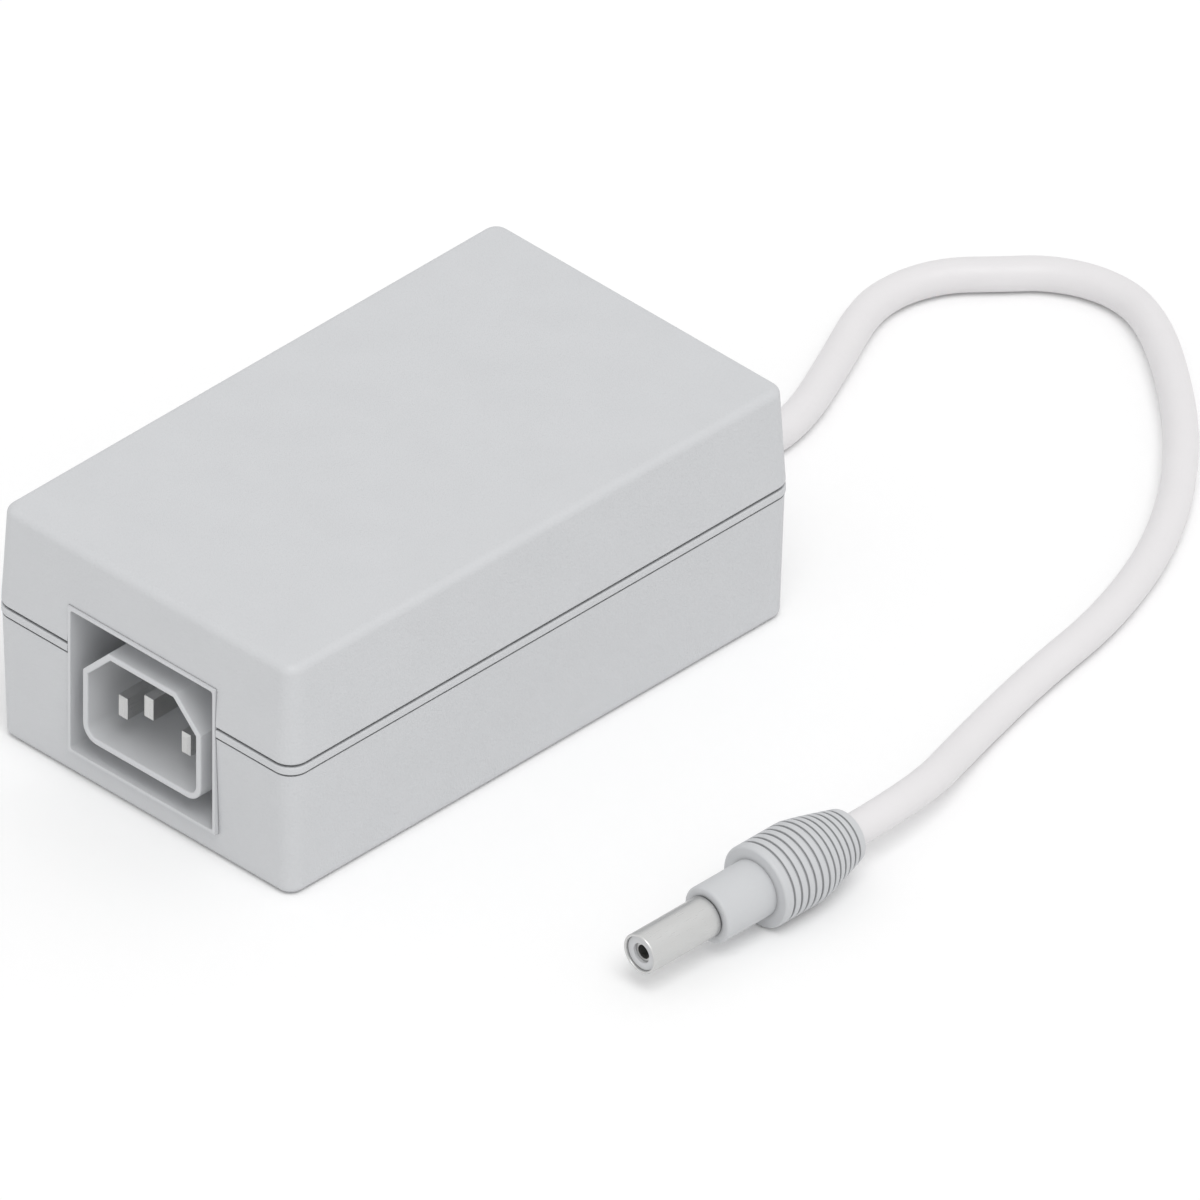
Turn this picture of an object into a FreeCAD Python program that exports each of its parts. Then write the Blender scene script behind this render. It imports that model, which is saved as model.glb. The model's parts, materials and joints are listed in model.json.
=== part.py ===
import FreeCAD, Part
import math
import os
import Sketcher

# Desktop power supply: a two-part plastic case with a mains inlet in one end,
# the converter board inside, and a low-voltage cord that ends in a barrel plug.
# Millimetres. The case stands on the floor plane, its centre over the origin.
# +Z is up, +Y runs along the case to the cord end, and the inlet faces -Y.

os.makedirs("parts", exist_ok=True)
DOC = FreeCAD.newDocument("power_supply")

# Each row is a name, a length in millimetres or a plain count, and its meaning.
SIZES = [
    ("case_length", 112.0, "case along Y at the joint"),
    ("case_width", 66.4, "case along X at the joint"),
    ("case_height", 43.75, "floor to the top of the case"),
    ("joint_height", 25.25, "floor to the joint of the two shells"),
    ("joint_gap", 0.3, "shadow gap between the shells' outer walls, outside the lip"),
    ("case_draft", 1.0, "how far each wall leans in from the joint to top or bottom"),
    ("case_corner", 3.5, "radius of the upright corners at the joint"),
    ("case_edge", 1.5, "radius of the top and bottom edges"),
    ("wall", 2.2, "thickness of walls, floor and roof"),
    ("band_height", 1.45, "height of the raised band under the joint"),
    ("band_step", 0.2, "how far the wall under the band stands back from it"),
    ("band_round", 0.3, "radius of the band's two edges"),
    ("groove_height", 0.3, "height of the groove under the band"),
    ("groove_depth", 0.7, "depth of that groove, from the band's face"),
    ("joint_round", 0.6, "radius of the upper shell's lower edge"),
    ("lip_height", 1.6, "height of the lip that centres the shells"),
    ("lip_thickness", 1.0, "thickness of that lip"),
    ("fit_gap", 0.15, "gap where one moulded piece slips into another"),
    ("boss_radius", 4.2, "radius of the screw bosses"),
    ("boss_inset", 3.6, "inner wall to the boss centre"),
    ("screw_radius", 1.45, "radius of the case screws' shank"),
    ("screw_bite", 9.0, "screw length in each shell"),
    ("screw_head_radius", 2.8, "radius of the case screws' head"),
    ("screw_head_height", 2.2, "height of the case screws' head"),
    ("screw_gap", 0.05, "gap round a screw in its formed hole"),
    ("head_gap", 0.5, "gap round a screw head in its counterbore"),
    ("opening_width", 32.9, "width of the inlet opening in the end wall"),
    ("opening_height", 28.0, "height of the inlet opening"),
    ("opening_centre", 18.9, "floor to the middle of the opening"),
    ("rim_wall", 0.6, "rim of the inlet that lines the opening"),
    ("rim_gap", 0.1, "gap between that rim and the opening"),
    ("tray_depth", 13.0, "end of the case to the tray's back wall"),
    ("tray_wall", 1.5, "wall of the tray behind the opening"),
    ("tray_back", 2.0, "back wall of the tray"),
    ("tray_corner", 0.5, "inner corner radius of the tray"),
    ("seat_depth", 3.6, "end of the case to the face that the inlet's flange seats on"),
    ("flange_thickness", 2.0, "flange of the inlet"),
    ("flange_reach", 1.8, "flange beyond the tray's wall"),
    ("keeper_thickness", 1.5, "rib that holds the flange from behind"),
    ("socket_centre", 18.5, "floor to the middle of the socket"),
    ("socket_width", 24.0, "width of the socket's cavity"),
    ("socket_height", 16.6, "height of the socket's cavity"),
    ("socket_depth", 16.5, "depth of the socket's cavity"),
    ("socket_wall", 1.1, "wall of the socket's shroud"),
    ("socket_key", 5.0, "chamfer of the two upper corners of the cavity"),
    ("socket_corner", 2.0, "radius of the two lower corners of the cavity"),
    ("socket_back", 3.0, "wall behind the cavity, which holds the pins"),
    ("mouth_round", 0.3, "rounding of the shroud's mouth"),
    ("pin_thickness", 2.0, "contact blade along X"),
    ("pin_height", 4.0, "contact blade along Z"),
    ("pin_pitch", 14.0, "line blade to neutral blade"),
    ("pin_offset", 2.0, "blades below or above the socket's middle"),
    ("pin_setback", 2.5, "mouth to the tips of the line and neutral blades"),
    ("earth_setback", 1.2, "mouth to the tip of the earth blade"),
    ("pin_tip", 0.5, "lead-in chamfer of a blade"),
    ("pin_leg", 1.2, "thickness of a blade's leg down to the board"),
    ("pin_leg_gap", 1.0, "board's front edge to the legs of line and neutral"),
    ("earth_leg_gap", 3.6, "board's front edge to the leg of the earth blade"),
    ("board_gap", 1.0, "inlet to the board's front edge"),
    ("board_length", 85.0, "circuit board along Y"),
    ("board_width", 57.0, "circuit board along X"),
    ("board_thickness", 1.6, "circuit board"),
    ("board_height", 7.0, "floor plane to the board's underside"),
    ("board_notch", 0.8, "gap from a boss to the board's notched corner"),
    ("post_radius", 3.0, "posts under the board"),
    ("post_inset_x", 4.0, "board's side to the middle of a post"),
    ("post_front", 4.5, "board's front edge to the middle of the front posts"),
    ("post_rear", 8.0, "board's rear edge to the middle of the rear posts"),
    ("board_screw_radius", 1.1, "radius of the board screws' shank"),
    ("board_screw_head", 2.3, "radius of the board screws' head"),
    ("board_screw_depth", 3.5, "board screw length below the board"),
    ("sheet_thickness", 0.4, "insulating sheet on the floor under the board"),
    ("sheet_margin", 1.0, "gap from the posts to the insulating sheet"),
    ("lead_wire", 0.4, "radius of a component's wire"),
    ("part_gap", 1.4, "gap between neighbouring components"),
    ("fuse_radius", 4.2, "fuse"),
    ("fuse_height", 8.0, "fuse"),
    ("fuse_inset", 11.0, "board's side to the middle of the fuse"),
    ("disc_thickness", 3.6, "thermistor and varistor"),
    ("disc_radius", 4.6, "thermistor and varistor"),
    ("disc_lift", 1.6, "disc above the board"),
    ("mains_capacitor_width", 17.5, "interference capacitor along X"),
    ("mains_capacitor_depth", 8.5, "interference capacitor along Y"),
    ("mains_capacitor_height", 14.5, "interference capacitor"),
    ("choke_inner", 5.2, "inner radius of the ring core"),
    ("choke_outer", 9.0, "outer radius of the ring core"),
    ("choke_height", 7.0, "height of the ring core"),
    ("choke_wire", 1.0, "thickness of the windings on the ring core"),
    ("choke_base", 1.5, "height of the ring core's base"),
    ("bridge_width", 20.0, "rectifier block along X"),
    ("bridge_depth", 3.6, "rectifier block along Y"),
    ("bridge_height", 15.0, "rectifier block"),
    ("bridge_lift", 3.0, "rectifier block above the board"),
    ("bulk_radius", 9.0, "mains-side storage capacitor"),
    ("bulk_height", 30.0, "mains-side storage capacitor"),
    ("core_width", 26.0, "transformer core along X"),
    ("core_length", 25.0, "transformer core along Y"),
    ("core_depth", 9.0, "transformer core along Z"),
    ("core_limb", 4.5, "outer limbs and backs of the core"),
    ("core_centre", 8.0, "middle limb of the core along X"),
    ("bobbin_wall", 1.0, "wall and flanges of the bobbin"),
    ("tape_thickness", 0.3, "tape over the windings"),
    ("bobbin_rim", 0.6, "bobbin flanges beyond the tape"),
    ("bobbin_foot", 4.0, "bobbin flange above the board"),
    ("sink_thickness", 2.0, "heatsink plates"),
    ("sink_height", 26.0, "heatsink plates"),
    ("sink_length", 24.0, "mains-side heatsink along Y"),
    ("sink_fin", 1.6, "thickness of a heatsink fin"),
    ("sink_reach", 3.0, "heatsink fins beyond the plate"),
    ("sink_fins", 6, "fins on each heatsink"),
    ("sink_margin", 0.5, "board's side to the fins"),
    ("package_width", 10.0, "power package along Y"),
    ("package_height", 9.0, "power package's moulded block"),
    ("package_depth", 4.4, "power package along X"),
    ("tab_height", 6.2, "power package's metal tab above the block"),
    ("tab_thickness", 1.3, "power package's metal tab"),
    ("package_lift", 7.0, "power package above the board"),
    ("output_radius", 5.0, "output capacitors"),
    ("output_height", 20.0, "output capacitors"),
    ("filter_radius", 5.5, "output filter coil"),
    ("filter_height", 12.0, "output filter coil"),
    ("chip_width", 6.4, "chip body along X"),
    ("chip_height", 3.4, "chip body"),
    ("chip_lift", 0.8, "chip body above the board"),
    ("chip_pitch", 2.54, "legs of a chip"),
    ("resistor_radius", 1.6, "power resistor"),
    ("resistor_length", 9.0, "power resistor"),
    ("cord_radius", 2.825, "output cord"),
    ("exit_height", 12.0, "floor to the cord where it leaves the case"),
    ("relief_reach", 8.5, "strain relief beyond the case's end"),
    ("relief_neck", 3.6, "radius of the strain relief in the wall"),
    ("relief_flange", 5.0, "radius of the strain relief's flanges"),
    ("relief_flange_depth", 1.6, "thickness of those flanges"),
    ("relief_tip", 3.3, "radius of the strain relief at its tip"),
    ("relief_seat", 1.1, "case's end to the face that the relief seats on"),
    ("exit_wall", 2.4, "thickness of the wall round the cord exit"),
    ("lead_radius", 0.95, "insulated leads from the cord to the board"),
    ("lead_spread", 2.0, "leads beside the cord's middle"),
    ("plug_place", 88.5, "case's middle to the plug's axis along X"),
    ("plug_rear", 12.0, "case's middle to the rear end of the plug along Y"),
    ("barrel_radius", 3.5, "plug barrel"),
    ("barrel_length", 14.9, "plug barrel beyond the collar"),
    ("barrel_wall", 0.5, "metal sleeve of the barrel"),
    ("barrel_root", 6.0, "barrel inside the collar"),
    ("barrel_step", 0.25, "how far the barrel's root steps in, and its neck before the collar"),
    ("collar_tail", 4.0, "radius of the collar's tail inside the grip"),
    ("bore_radius", 1.25, "bore of the centre contact"),
    ("contact_wall", 0.45, "wall of the centre contact"),
    ("nest_gap", 0.03, "gap between the nested pieces of the barrel"),
    ("tip_recess", 0.5, "barrel's mouth to its insulator"),
    ("collar_radius", 4.925, "plug collar"),
    ("collar_length", 10.8, "plug collar"),
    ("grip_radius", 7.15, "plug grip"),
    ("grip_straight", 9.35, "straight part of the grip"),
    ("grip_taper", 10.9, "tapering part of the grip"),
    ("grip_end", 4.5, "radius of the grip at the cord"),
    ("grip_ribs", 13, "rings round the grip"),
    ("grip_groove", 0.45, "depth of the grooves between the rings"),
]

# The cord's route on the floor, point by point as it lies in the picture.
CORD_ROUTE = [
    (0.0, 64.5, 12.0),
    (0.0, 77.5, 12.0),
    (-1.2, 92.0, 2.85),
    (-8.0, 106.2, 2.85),
    (-14.6, 119.2, 2.85),
    (-15.1, 127.6, 2.85),
    (-12.3, 135.2, 2.85),
    (-6.7, 141.0, 2.85),
    (-1.4, 147.0, 2.85),
    (6.9, 150.8, 2.85),
    (16.1, 150.5, 2.85),
    (28.5, 143.7, 2.85),
    (46.8, 129.0, 2.85),
    (62.2, 109.7, 2.85),
    (71.3, 88.0, 2.85),
    (74.8, 67.5, 2.85),
    (79.9, 47.5, 2.85),
    (88.5, 28.5, 7.15),
    (88.5, 12.0, 7.15),
]

# Each arc of a route takes this share of its shorter run.
ARC_SHARE = 0.45
# Two faces this close count as the same place when edges are picked.
TOUCH = 1e-4
# Share by which a wall round a 45 degree corner shortens that corner's chamfer.
MITRE = 2.0 - math.sqrt(2.0)
# Origin plane across each axis, and whether its normal points along that axis.
PLANES = {"X": ("YZ_Plane", 1), "Y": ("XZ_Plane", -1), "Z": ("XY_Plane", 1)}
PIECES = []


class Size:
    """A length kept as its number and as the sheet expression that gives it."""

    def __init__(self, number, words):
        self.number = number
        self.words = words

    def combine(self, other, sign, number):
        return Size(number, f"({self.words} {sign} {worded(other)})")

    def __add__(self, other):
        return self.combine(other, "+", self.number + plain(other))

    def __sub__(self, other):
        return self.combine(other, "-", self.number - plain(other))

    def __mul__(self, other):
        return self.combine(other, "*", self.number * plain(other))

    def __truediv__(self, other):
        return self.combine(other, "/", self.number / plain(other))

    def __radd__(self, other):
        return Size(float(other), str(other)) + self

    def __rsub__(self, other):
        return Size(float(other), str(other)) - self

    def __rmul__(self, other):
        return Size(float(other), str(other)) * self

    def __neg__(self):
        return Size(-self.number, f"(-1 * {self.words})")


class Sizes:
    """The spreadsheet, read by name: S.wall is the wall as a Size."""

    def __init__(self, rows):
        self.cells = DOC.addObject("Spreadsheet::Sheet", "Sizes")
        for row, (name, value, meaning) in enumerate(rows, 1):
            self.cells.set(f"A{row}", name)
            self.cells.set(f"B{row}", str(value))
            self.cells.setAlias(f"B{row}", name)
            self.cells.set(f"C{row}", meaning)
        DOC.recompute()

    def __getattr__(self, name):
        return Size(float(self.cells.get(name)), f"Sizes.{name}")


def plain(value):
    """The number behind a Size, or the number itself."""
    return value.number if isinstance(value, Size) else float(value)


def worded(value):
    """The expression behind a Size, or the number as text."""
    return value.words if isinstance(value, Size) else repr(float(value))


def bind(thing, name, value):
    """Ties a property of a feature to an expression over the sheet."""
    thing.setExpression(name, worded(value))


def tie(sketch, kind, places, value):
    """Adds a sketch constraint whose value comes from the sheet."""
    index = sketch.addConstraint(Sketcher.Constraint(kind, *places, plain(value)))
    sketch.setExpression(f"Constraints[{index}]", worded(value))


def pin_point(sketch, geometry, point, place):
    """Holds one point of a sketch at a place measured from the origin."""
    tie(sketch, "DistanceX", (-1, 1, geometry, point), place[0])
    tie(sketch, "DistanceY", (-1, 1, geometry, point), place[1])


class Polygon:
    """Closed outline with straight sides."""

    def __init__(self, *corners):
        self.corners = corners

    def draw(self, sketch):
        first = sketch.GeometryCount
        count = len(self.corners)
        points = [FreeCAD.Vector(plain(x), plain(y), 0) for x, y in self.corners]
        for here, there in zip(points, points[1:] + points[:1]):
            sketch.addGeometry(Part.LineSegment(here, there))
        for side in range(count):
            after = first + (side + 1) % count
            sketch.addConstraint(Sketcher.Constraint("Coincident", first + side, 2, after, 1))
        for side, corner in enumerate(self.corners):
            pin_point(sketch, first + side, 1, corner)


class Rectangle(Polygon):
    """Upright rectangle between two lowest and two highest values."""

    def __init__(self, low_x, high_x, low_y, high_y):
        super().__init__((low_x, low_y), (high_x, low_y), (high_x, high_y), (low_x, high_y))


class Circle:
    """Full circle."""

    def __init__(self, centre, radius):
        self.centre = centre
        self.radius = radius

    def draw(self, sketch):
        middle = FreeCAD.Vector(plain(self.centre[0]), plain(self.centre[1]), 0)
        ring = Part.Circle(middle, FreeCAD.Vector(0, 0, 1), plain(self.radius))
        index = sketch.addGeometry(ring)
        pin_point(sketch, index, 3, self.centre)
        tie(sketch, "Radius", (index,), self.radius)


class Rounded:
    """Rectangle whose four corners are arcs that run into its sides."""

    def __init__(self, low_x, high_x, low_y, high_y, radius):
        self.radius = radius
        self.centres = [
            (high_x - radius, high_y - radius),
            (low_x + radius, high_y - radius),
            (low_x + radius, low_y + radius),
            (high_x - radius, low_y + radius),
        ]

    def point(self, corner, quarter):
        """Point of a corner's arc at a number of quarter turns."""
        turn = quarter * math.pi / 2
        x, y = self.centres[corner]
        reach = plain(self.radius)
        return FreeCAD.Vector(plain(x) + reach * math.cos(turn), plain(y) + reach * math.sin(turn), 0)

    def draw(self, sketch):
        first = sketch.GeometryCount
        for corner, (x, y) in enumerate(self.centres):
            middle = FreeCAD.Vector(plain(x), plain(y), 0)
            ring = Part.Circle(middle, FreeCAD.Vector(0, 0, 1), plain(self.radius))
            start = corner * math.pi / 2
            sketch.addGeometry(Part.ArcOfCircle(ring, start, start + math.pi / 2))
        for corner in range(4):
            after = (corner + 1) % 4
            side = Part.LineSegment(self.point(corner, corner + 1), self.point(after, corner + 1))
            sketch.addGeometry(side)
        for corner in range(4):
            arc, side, after = first + corner, first + 4 + corner, first + (corner + 1) % 4
            sketch.addConstraint(Sketcher.Constraint("Tangent", arc, 2, side, 1))
            sketch.addConstraint(Sketcher.Constraint("Tangent", side, 2, after, 1))
            pin_point(sketch, arc, 3, self.centres[corner])
            tie(sketch, "Radius", (arc,), self.radius)


def new_body(label, x=0.0, y=0.0, z=0.0, turn=None):
    """Starts a sub-part at its place; turn is an axis and an angle in degrees."""
    body = DOC.addObject("PartDesign::Body", label)
    body.Label = label
    if turn:
        body.Placement.Rotation = FreeCAD.Rotation(*turn)
    for axis, value in zip("xyz", (x, y, z)):
        bind(body, f"Placement.Base.{axis}", value)
    PIECES.append(body)
    return body


def sketch_on(body, name, role, lift, outlines):
    """Sketch on one of the body's origin planes, lifted along its normal."""
    sketch = body.newObject("Sketcher::SketchObject", name)
    plane = next(item for item in body.Origin.OriginFeatures if item.Role == role)
    sketch.AttachmentSupport = (plane, [""])
    sketch.MapMode = "FlatFace"
    bind(sketch, "AttachmentOffset.Base.z", lift)
    for outline in outlines:
        outline.draw(sketch)
    return sketch


def extrude(body, kind, name, axis, low, high, outlines):
    """Pad or pocket of the outlines across an axis, from low to high on that axis."""
    role, sense = PLANES[axis]
    lift = low if sense > 0 else -1 * high
    feature_sketch = sketch_on(body, f"{name}_outline", role, lift, outlines)
    feature = body.newObject(f"PartDesign::{kind}", name)
    feature.Profile = feature_sketch
    feature.Reversed = kind == "Pocket"
    bind(feature, "Length", high - low)
    return feature


def pad(body, name, axis, low, high, *outlines):
    """Adds the outlines' solid between two places on an axis."""
    return extrude(body, "Pad", name, axis, low, high, outlines)


def pocket(body, name, axis, low, high, *outlines):
    """Cuts the outlines' solid between two places on an axis, and checks that it cut."""
    before = settled(body.Tip).Shape.Volume
    feature = extrude(body, "Pocket", name, axis, low, high, outlines)
    if settled(feature).Shape.Volume > before - TOUCH:
        raise ValueError(f"{body.Label}: {name} cuts nothing")
    return feature


def loft(body, kind, name, ends):
    """Loft between outlines on level planes; ends are pairs of height and outline."""
    sections = []
    for number, (height, outline) in enumerate(ends, 1):
        sections.append(sketch_on(body, f"{name}_outline_{number}", "XY_Plane", height, [outline]))
    feature = body.newObject(f"PartDesign::{kind}", name)
    feature.Profile = sections[0]
    feature.Sections = sections[1:]
    feature.Ruled = True
    return feature


def turned(body, name, *corners):
    """Outline of radius and height turned about the body's Z axis."""
    outline = sketch_on(body, f"{name}_outline", "XZ_Plane", 0.0, [Polygon(*corners)])
    feature = body.newObject("PartDesign::Revolution", name)
    feature.Profile = outline
    feature.ReferenceAxis = (outline, ["V_Axis"])
    feature.Angle = 360.0
    return feature


def settled(feature):
    """Recomputes the document and hands the feature back."""
    DOC.recompute()
    return feature


def span(edge, axis):
    """Lowest and highest value of an edge on an axis."""
    box = edge.BoundBox
    return getattr(box, f"{axis}Min"), getattr(box, f"{axis}Max")


def lies_at(edge, axis, value):
    """True where the whole edge lies at one place on an axis."""
    low, high = span(edge, axis)
    return abs(low - plain(value)) < TOUCH and abs(high - plain(value)) < TOUCH


def lies_at_radius(edge, radius):
    """True where the edge is a circle of this radius."""
    return abs(getattr(edge.Curve, "Radius", 0.0) - plain(radius)) < TOUCH


def runs_along(edge, axis):
    """True where the edge is straight along an axis."""
    still = [other for other in "XYZ" if other != axis]
    return all(span(edge, other)[1] - span(edge, other)[0] < TOUCH for other in still)


def ease(body, name, size, test, kind="Fillet"):
    """Fillet or chamfer on the edges of the body's last feature that pass the test."""
    base = settled(body.Tip)
    picked = [f"Edge{number}" for number, edge in enumerate(base.Shape.Edges, 1) if test(edge)]
    feature = body.newObject(f"PartDesign::{kind}", name)
    feature.Base = (base, picked)
    bind(feature, "Radius" if kind == "Fillet" else "Size", size)
    if not picked or not settled(feature).Shape.isValid():
        raise ValueError(f"{body.Label}: {name} fails on {len(picked)} edges")
    return feature


def mirror_both_ways(body, name, originals):
    """Repeats features across the planes X = 0 and Y = 0."""
    pattern = body.newObject("PartDesign::MultiTransform", name)
    pattern.Originals = originals
    mirrors = []
    for role in ("YZ_Plane", "XZ_Plane"):
        mirror = body.newObject("PartDesign::Mirrored", f"{name}_{role[:2]}")
        plane = next(item for item in body.Origin.OriginFeatures if item.Role == role)
        mirror.MirrorPlane = (plane, [""])
        mirrors.append(mirror)
    pattern.Transformations = mirrors
    body.Tip = pattern
    return pattern


S = Sizes(SIZES)

# Places that several pieces share, all worked out from the sheet.
END = S.case_length / 2
SIDE = S.case_width / 2
BAND_FOOT = S.joint_height - S.band_height
GROOVE_FOOT = BAND_FOOT - S.groove_height
UPPER_FOOT = S.joint_height + S.joint_gap
BOSS_X = SIDE - S.wall - S.boss_inset
BOSS_Y = END - S.wall - S.boss_inset
BOSSES = [(BOSS_X, BOSS_Y), (-BOSS_X, BOSS_Y), (-BOSS_X, -BOSS_Y), (BOSS_X, -BOSS_Y)]
OPENING_X = S.opening_width / 2
OPENING_LOW = S.opening_centre - S.opening_height / 2
OPENING_HIGH = S.opening_centre + S.opening_height / 2
RIM_X = OPENING_X - S.rim_gap
RIM_LOW = OPENING_LOW + S.rim_gap
RIM_HIGH = OPENING_HIGH - S.rim_gap
HOLLOW_X = RIM_X - S.rim_wall
HOLLOW_LOW = RIM_LOW + S.rim_wall
HOLLOW_HIGH = RIM_HIGH - S.rim_wall
TRAY_X = HOLLOW_X + S.tray_wall
TRAY_LOW = HOLLOW_LOW - S.tray_wall
TRAY_HIGH = HOLLOW_HIGH + S.tray_wall
FLANGE_X = TRAY_X + S.flange_reach
SEAT_Y = S.seat_depth - END
FLANGE_REAR = SEAT_Y + S.flange_thickness
KEEPER_FRONT = FLANGE_REAR + S.fit_gap
KEEPER_REAR = KEEPER_FRONT + S.keeper_thickness
SOCKET_FLOOR = S.socket_depth - END
SOCKET_REAR = SOCKET_FLOOR + S.socket_back
BOARD_FRONT = SOCKET_REAR + S.board_gap
BOARD_REAR = BOARD_FRONT + S.board_length
BOARD_TOP = S.board_height + S.board_thickness
BOARD_X = S.board_width / 2
POST_X = BOARD_X - S.post_inset_x
POST_FRONT_Y = BOARD_FRONT + S.post_front
POST_REAR_Y = BOARD_REAR - S.post_rear
POSTS = [(side * POST_X, y) for side in (1, -1) for y in (POST_FRONT_Y, POST_REAR_Y)]
RELIEF_SEAT_Y = END - S.relief_seat
RELIEF_INNER_Y = RELIEF_SEAT_Y - S.exit_wall
LOW_PINS = S.socket_centre - S.pin_offset
HIGH_PIN = S.socket_centre + S.pin_offset
GRIP_FRONT = S.plug_rear - S.grip_straight - S.grip_taper
COLLAR_FRONT = GRIP_FRONT - S.collar_length
PLUG_TIP = COLLAR_FRONT - S.barrel_length

# Rows of components along the board, each a gap behind the row before it.
FRONT_ROW = POST_FRONT_Y + S.board_screw_head + S.part_gap + S.mains_capacitor_depth / 2
SECOND_ROW = FRONT_ROW + S.mains_capacitor_depth / 2 + S.part_gap
CHOKE_REACH = S.choke_outer + S.choke_wire
CHOKE_Y = SECOND_ROW + CHOKE_REACH
CHOKE_REAR = CHOKE_Y + CHOKE_REACH
BRIDGE_Y = SECOND_ROW + S.bridge_depth / 2
BULK_Y = SECOND_ROW + S.bridge_depth + S.part_gap + S.bulk_radius
CORE_Y = BULK_Y + S.bulk_radius + S.part_gap + S.core_length / 2
LAST_ROW = CORE_Y + S.core_length / 2 + S.part_gap
OUTPUT_Y = LAST_ROW + S.filter_radius
PRIMARY_SINK_Y = SECOND_ROW + S.bridge_depth + S.part_gap + S.sink_length / 2
SECONDARY_SINK_Y = CHOKE_REAR + S.part_gap + S.sink_length / 2

# Places across the board.
SINK_X = BOARD_X - S.sink_margin - S.sink_reach - S.sink_thickness
CHOKE_X = S.sink_margin + S.sink_reach + CHOKE_REACH - BOARD_X
BULK_X = CHOKE_X + CHOKE_REACH + S.part_gap + S.bulk_radius
CORE_X = SINK_X - S.package_depth - S.part_gap - S.core_width / 2 - S.chip_width / 4
CHIP_X = CORE_X + S.core_width / 2 + S.part_gap + S.chip_width / 2 + S.chip_lift + S.lead_wire
RESISTOR_X = S.part_gap + S.resistor_length / 2 + S.resistor_radius - SINK_X
OUTPUT_X = -S.output_radius * 2 - S.part_gap
FILTER_X = S.output_radius + S.part_gap + S.filter_radius
SAFETY_X = FILTER_X + S.filter_radius + S.part_gap + S.disc_radius
FUSE_X = S.fuse_inset - BOARD_X
THERMISTOR_X = FUSE_X + S.fuse_radius + S.part_gap + S.disc_radius
VARISTOR_X = THERMISTOR_X + S.disc_radius * 2 + S.part_gap

# Turns of a body about its own place.
RIGHT_HAND = (FreeCAD.Vector(0, 0, 1), 0)
LEFT_HAND = (FreeCAD.Vector(0, 0, 1), 180)
TURN_BACK = (FreeCAD.Vector(1, 0, 0), -90)
# Part of the ring that each choke winding covers, in degrees, and its turns.
WINDING_SWEEP = 132.0
WINDING_TURNS = 10


def case_outline(inset, lean, corner):
    """Rounded outline of the case, moved in from the joint's outline by inset and lean."""
    x = SIDE - inset - lean
    y = END - inset - lean
    return Rounded(-x, x, -y, y, corner)


def inner_corner():
    """Corner radius inside the walls."""
    return S.case_corner - S.wall


def on_band(edge):
    """True where the edge runs round the top or the foot of the band, on the case's widest outline."""
    level = lies_at(edge, "Z", BAND_FOOT) or lies_at(edge, "Z", S.joint_height)
    reach_x = max(abs(value) for value in span(edge, "X"))
    reach_y = max(abs(value) for value in span(edge, "Y"))
    return level and (abs(reach_x - plain(SIDE)) < TOUCH or abs(reach_y - plain(END)) < TOUCH)


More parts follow.
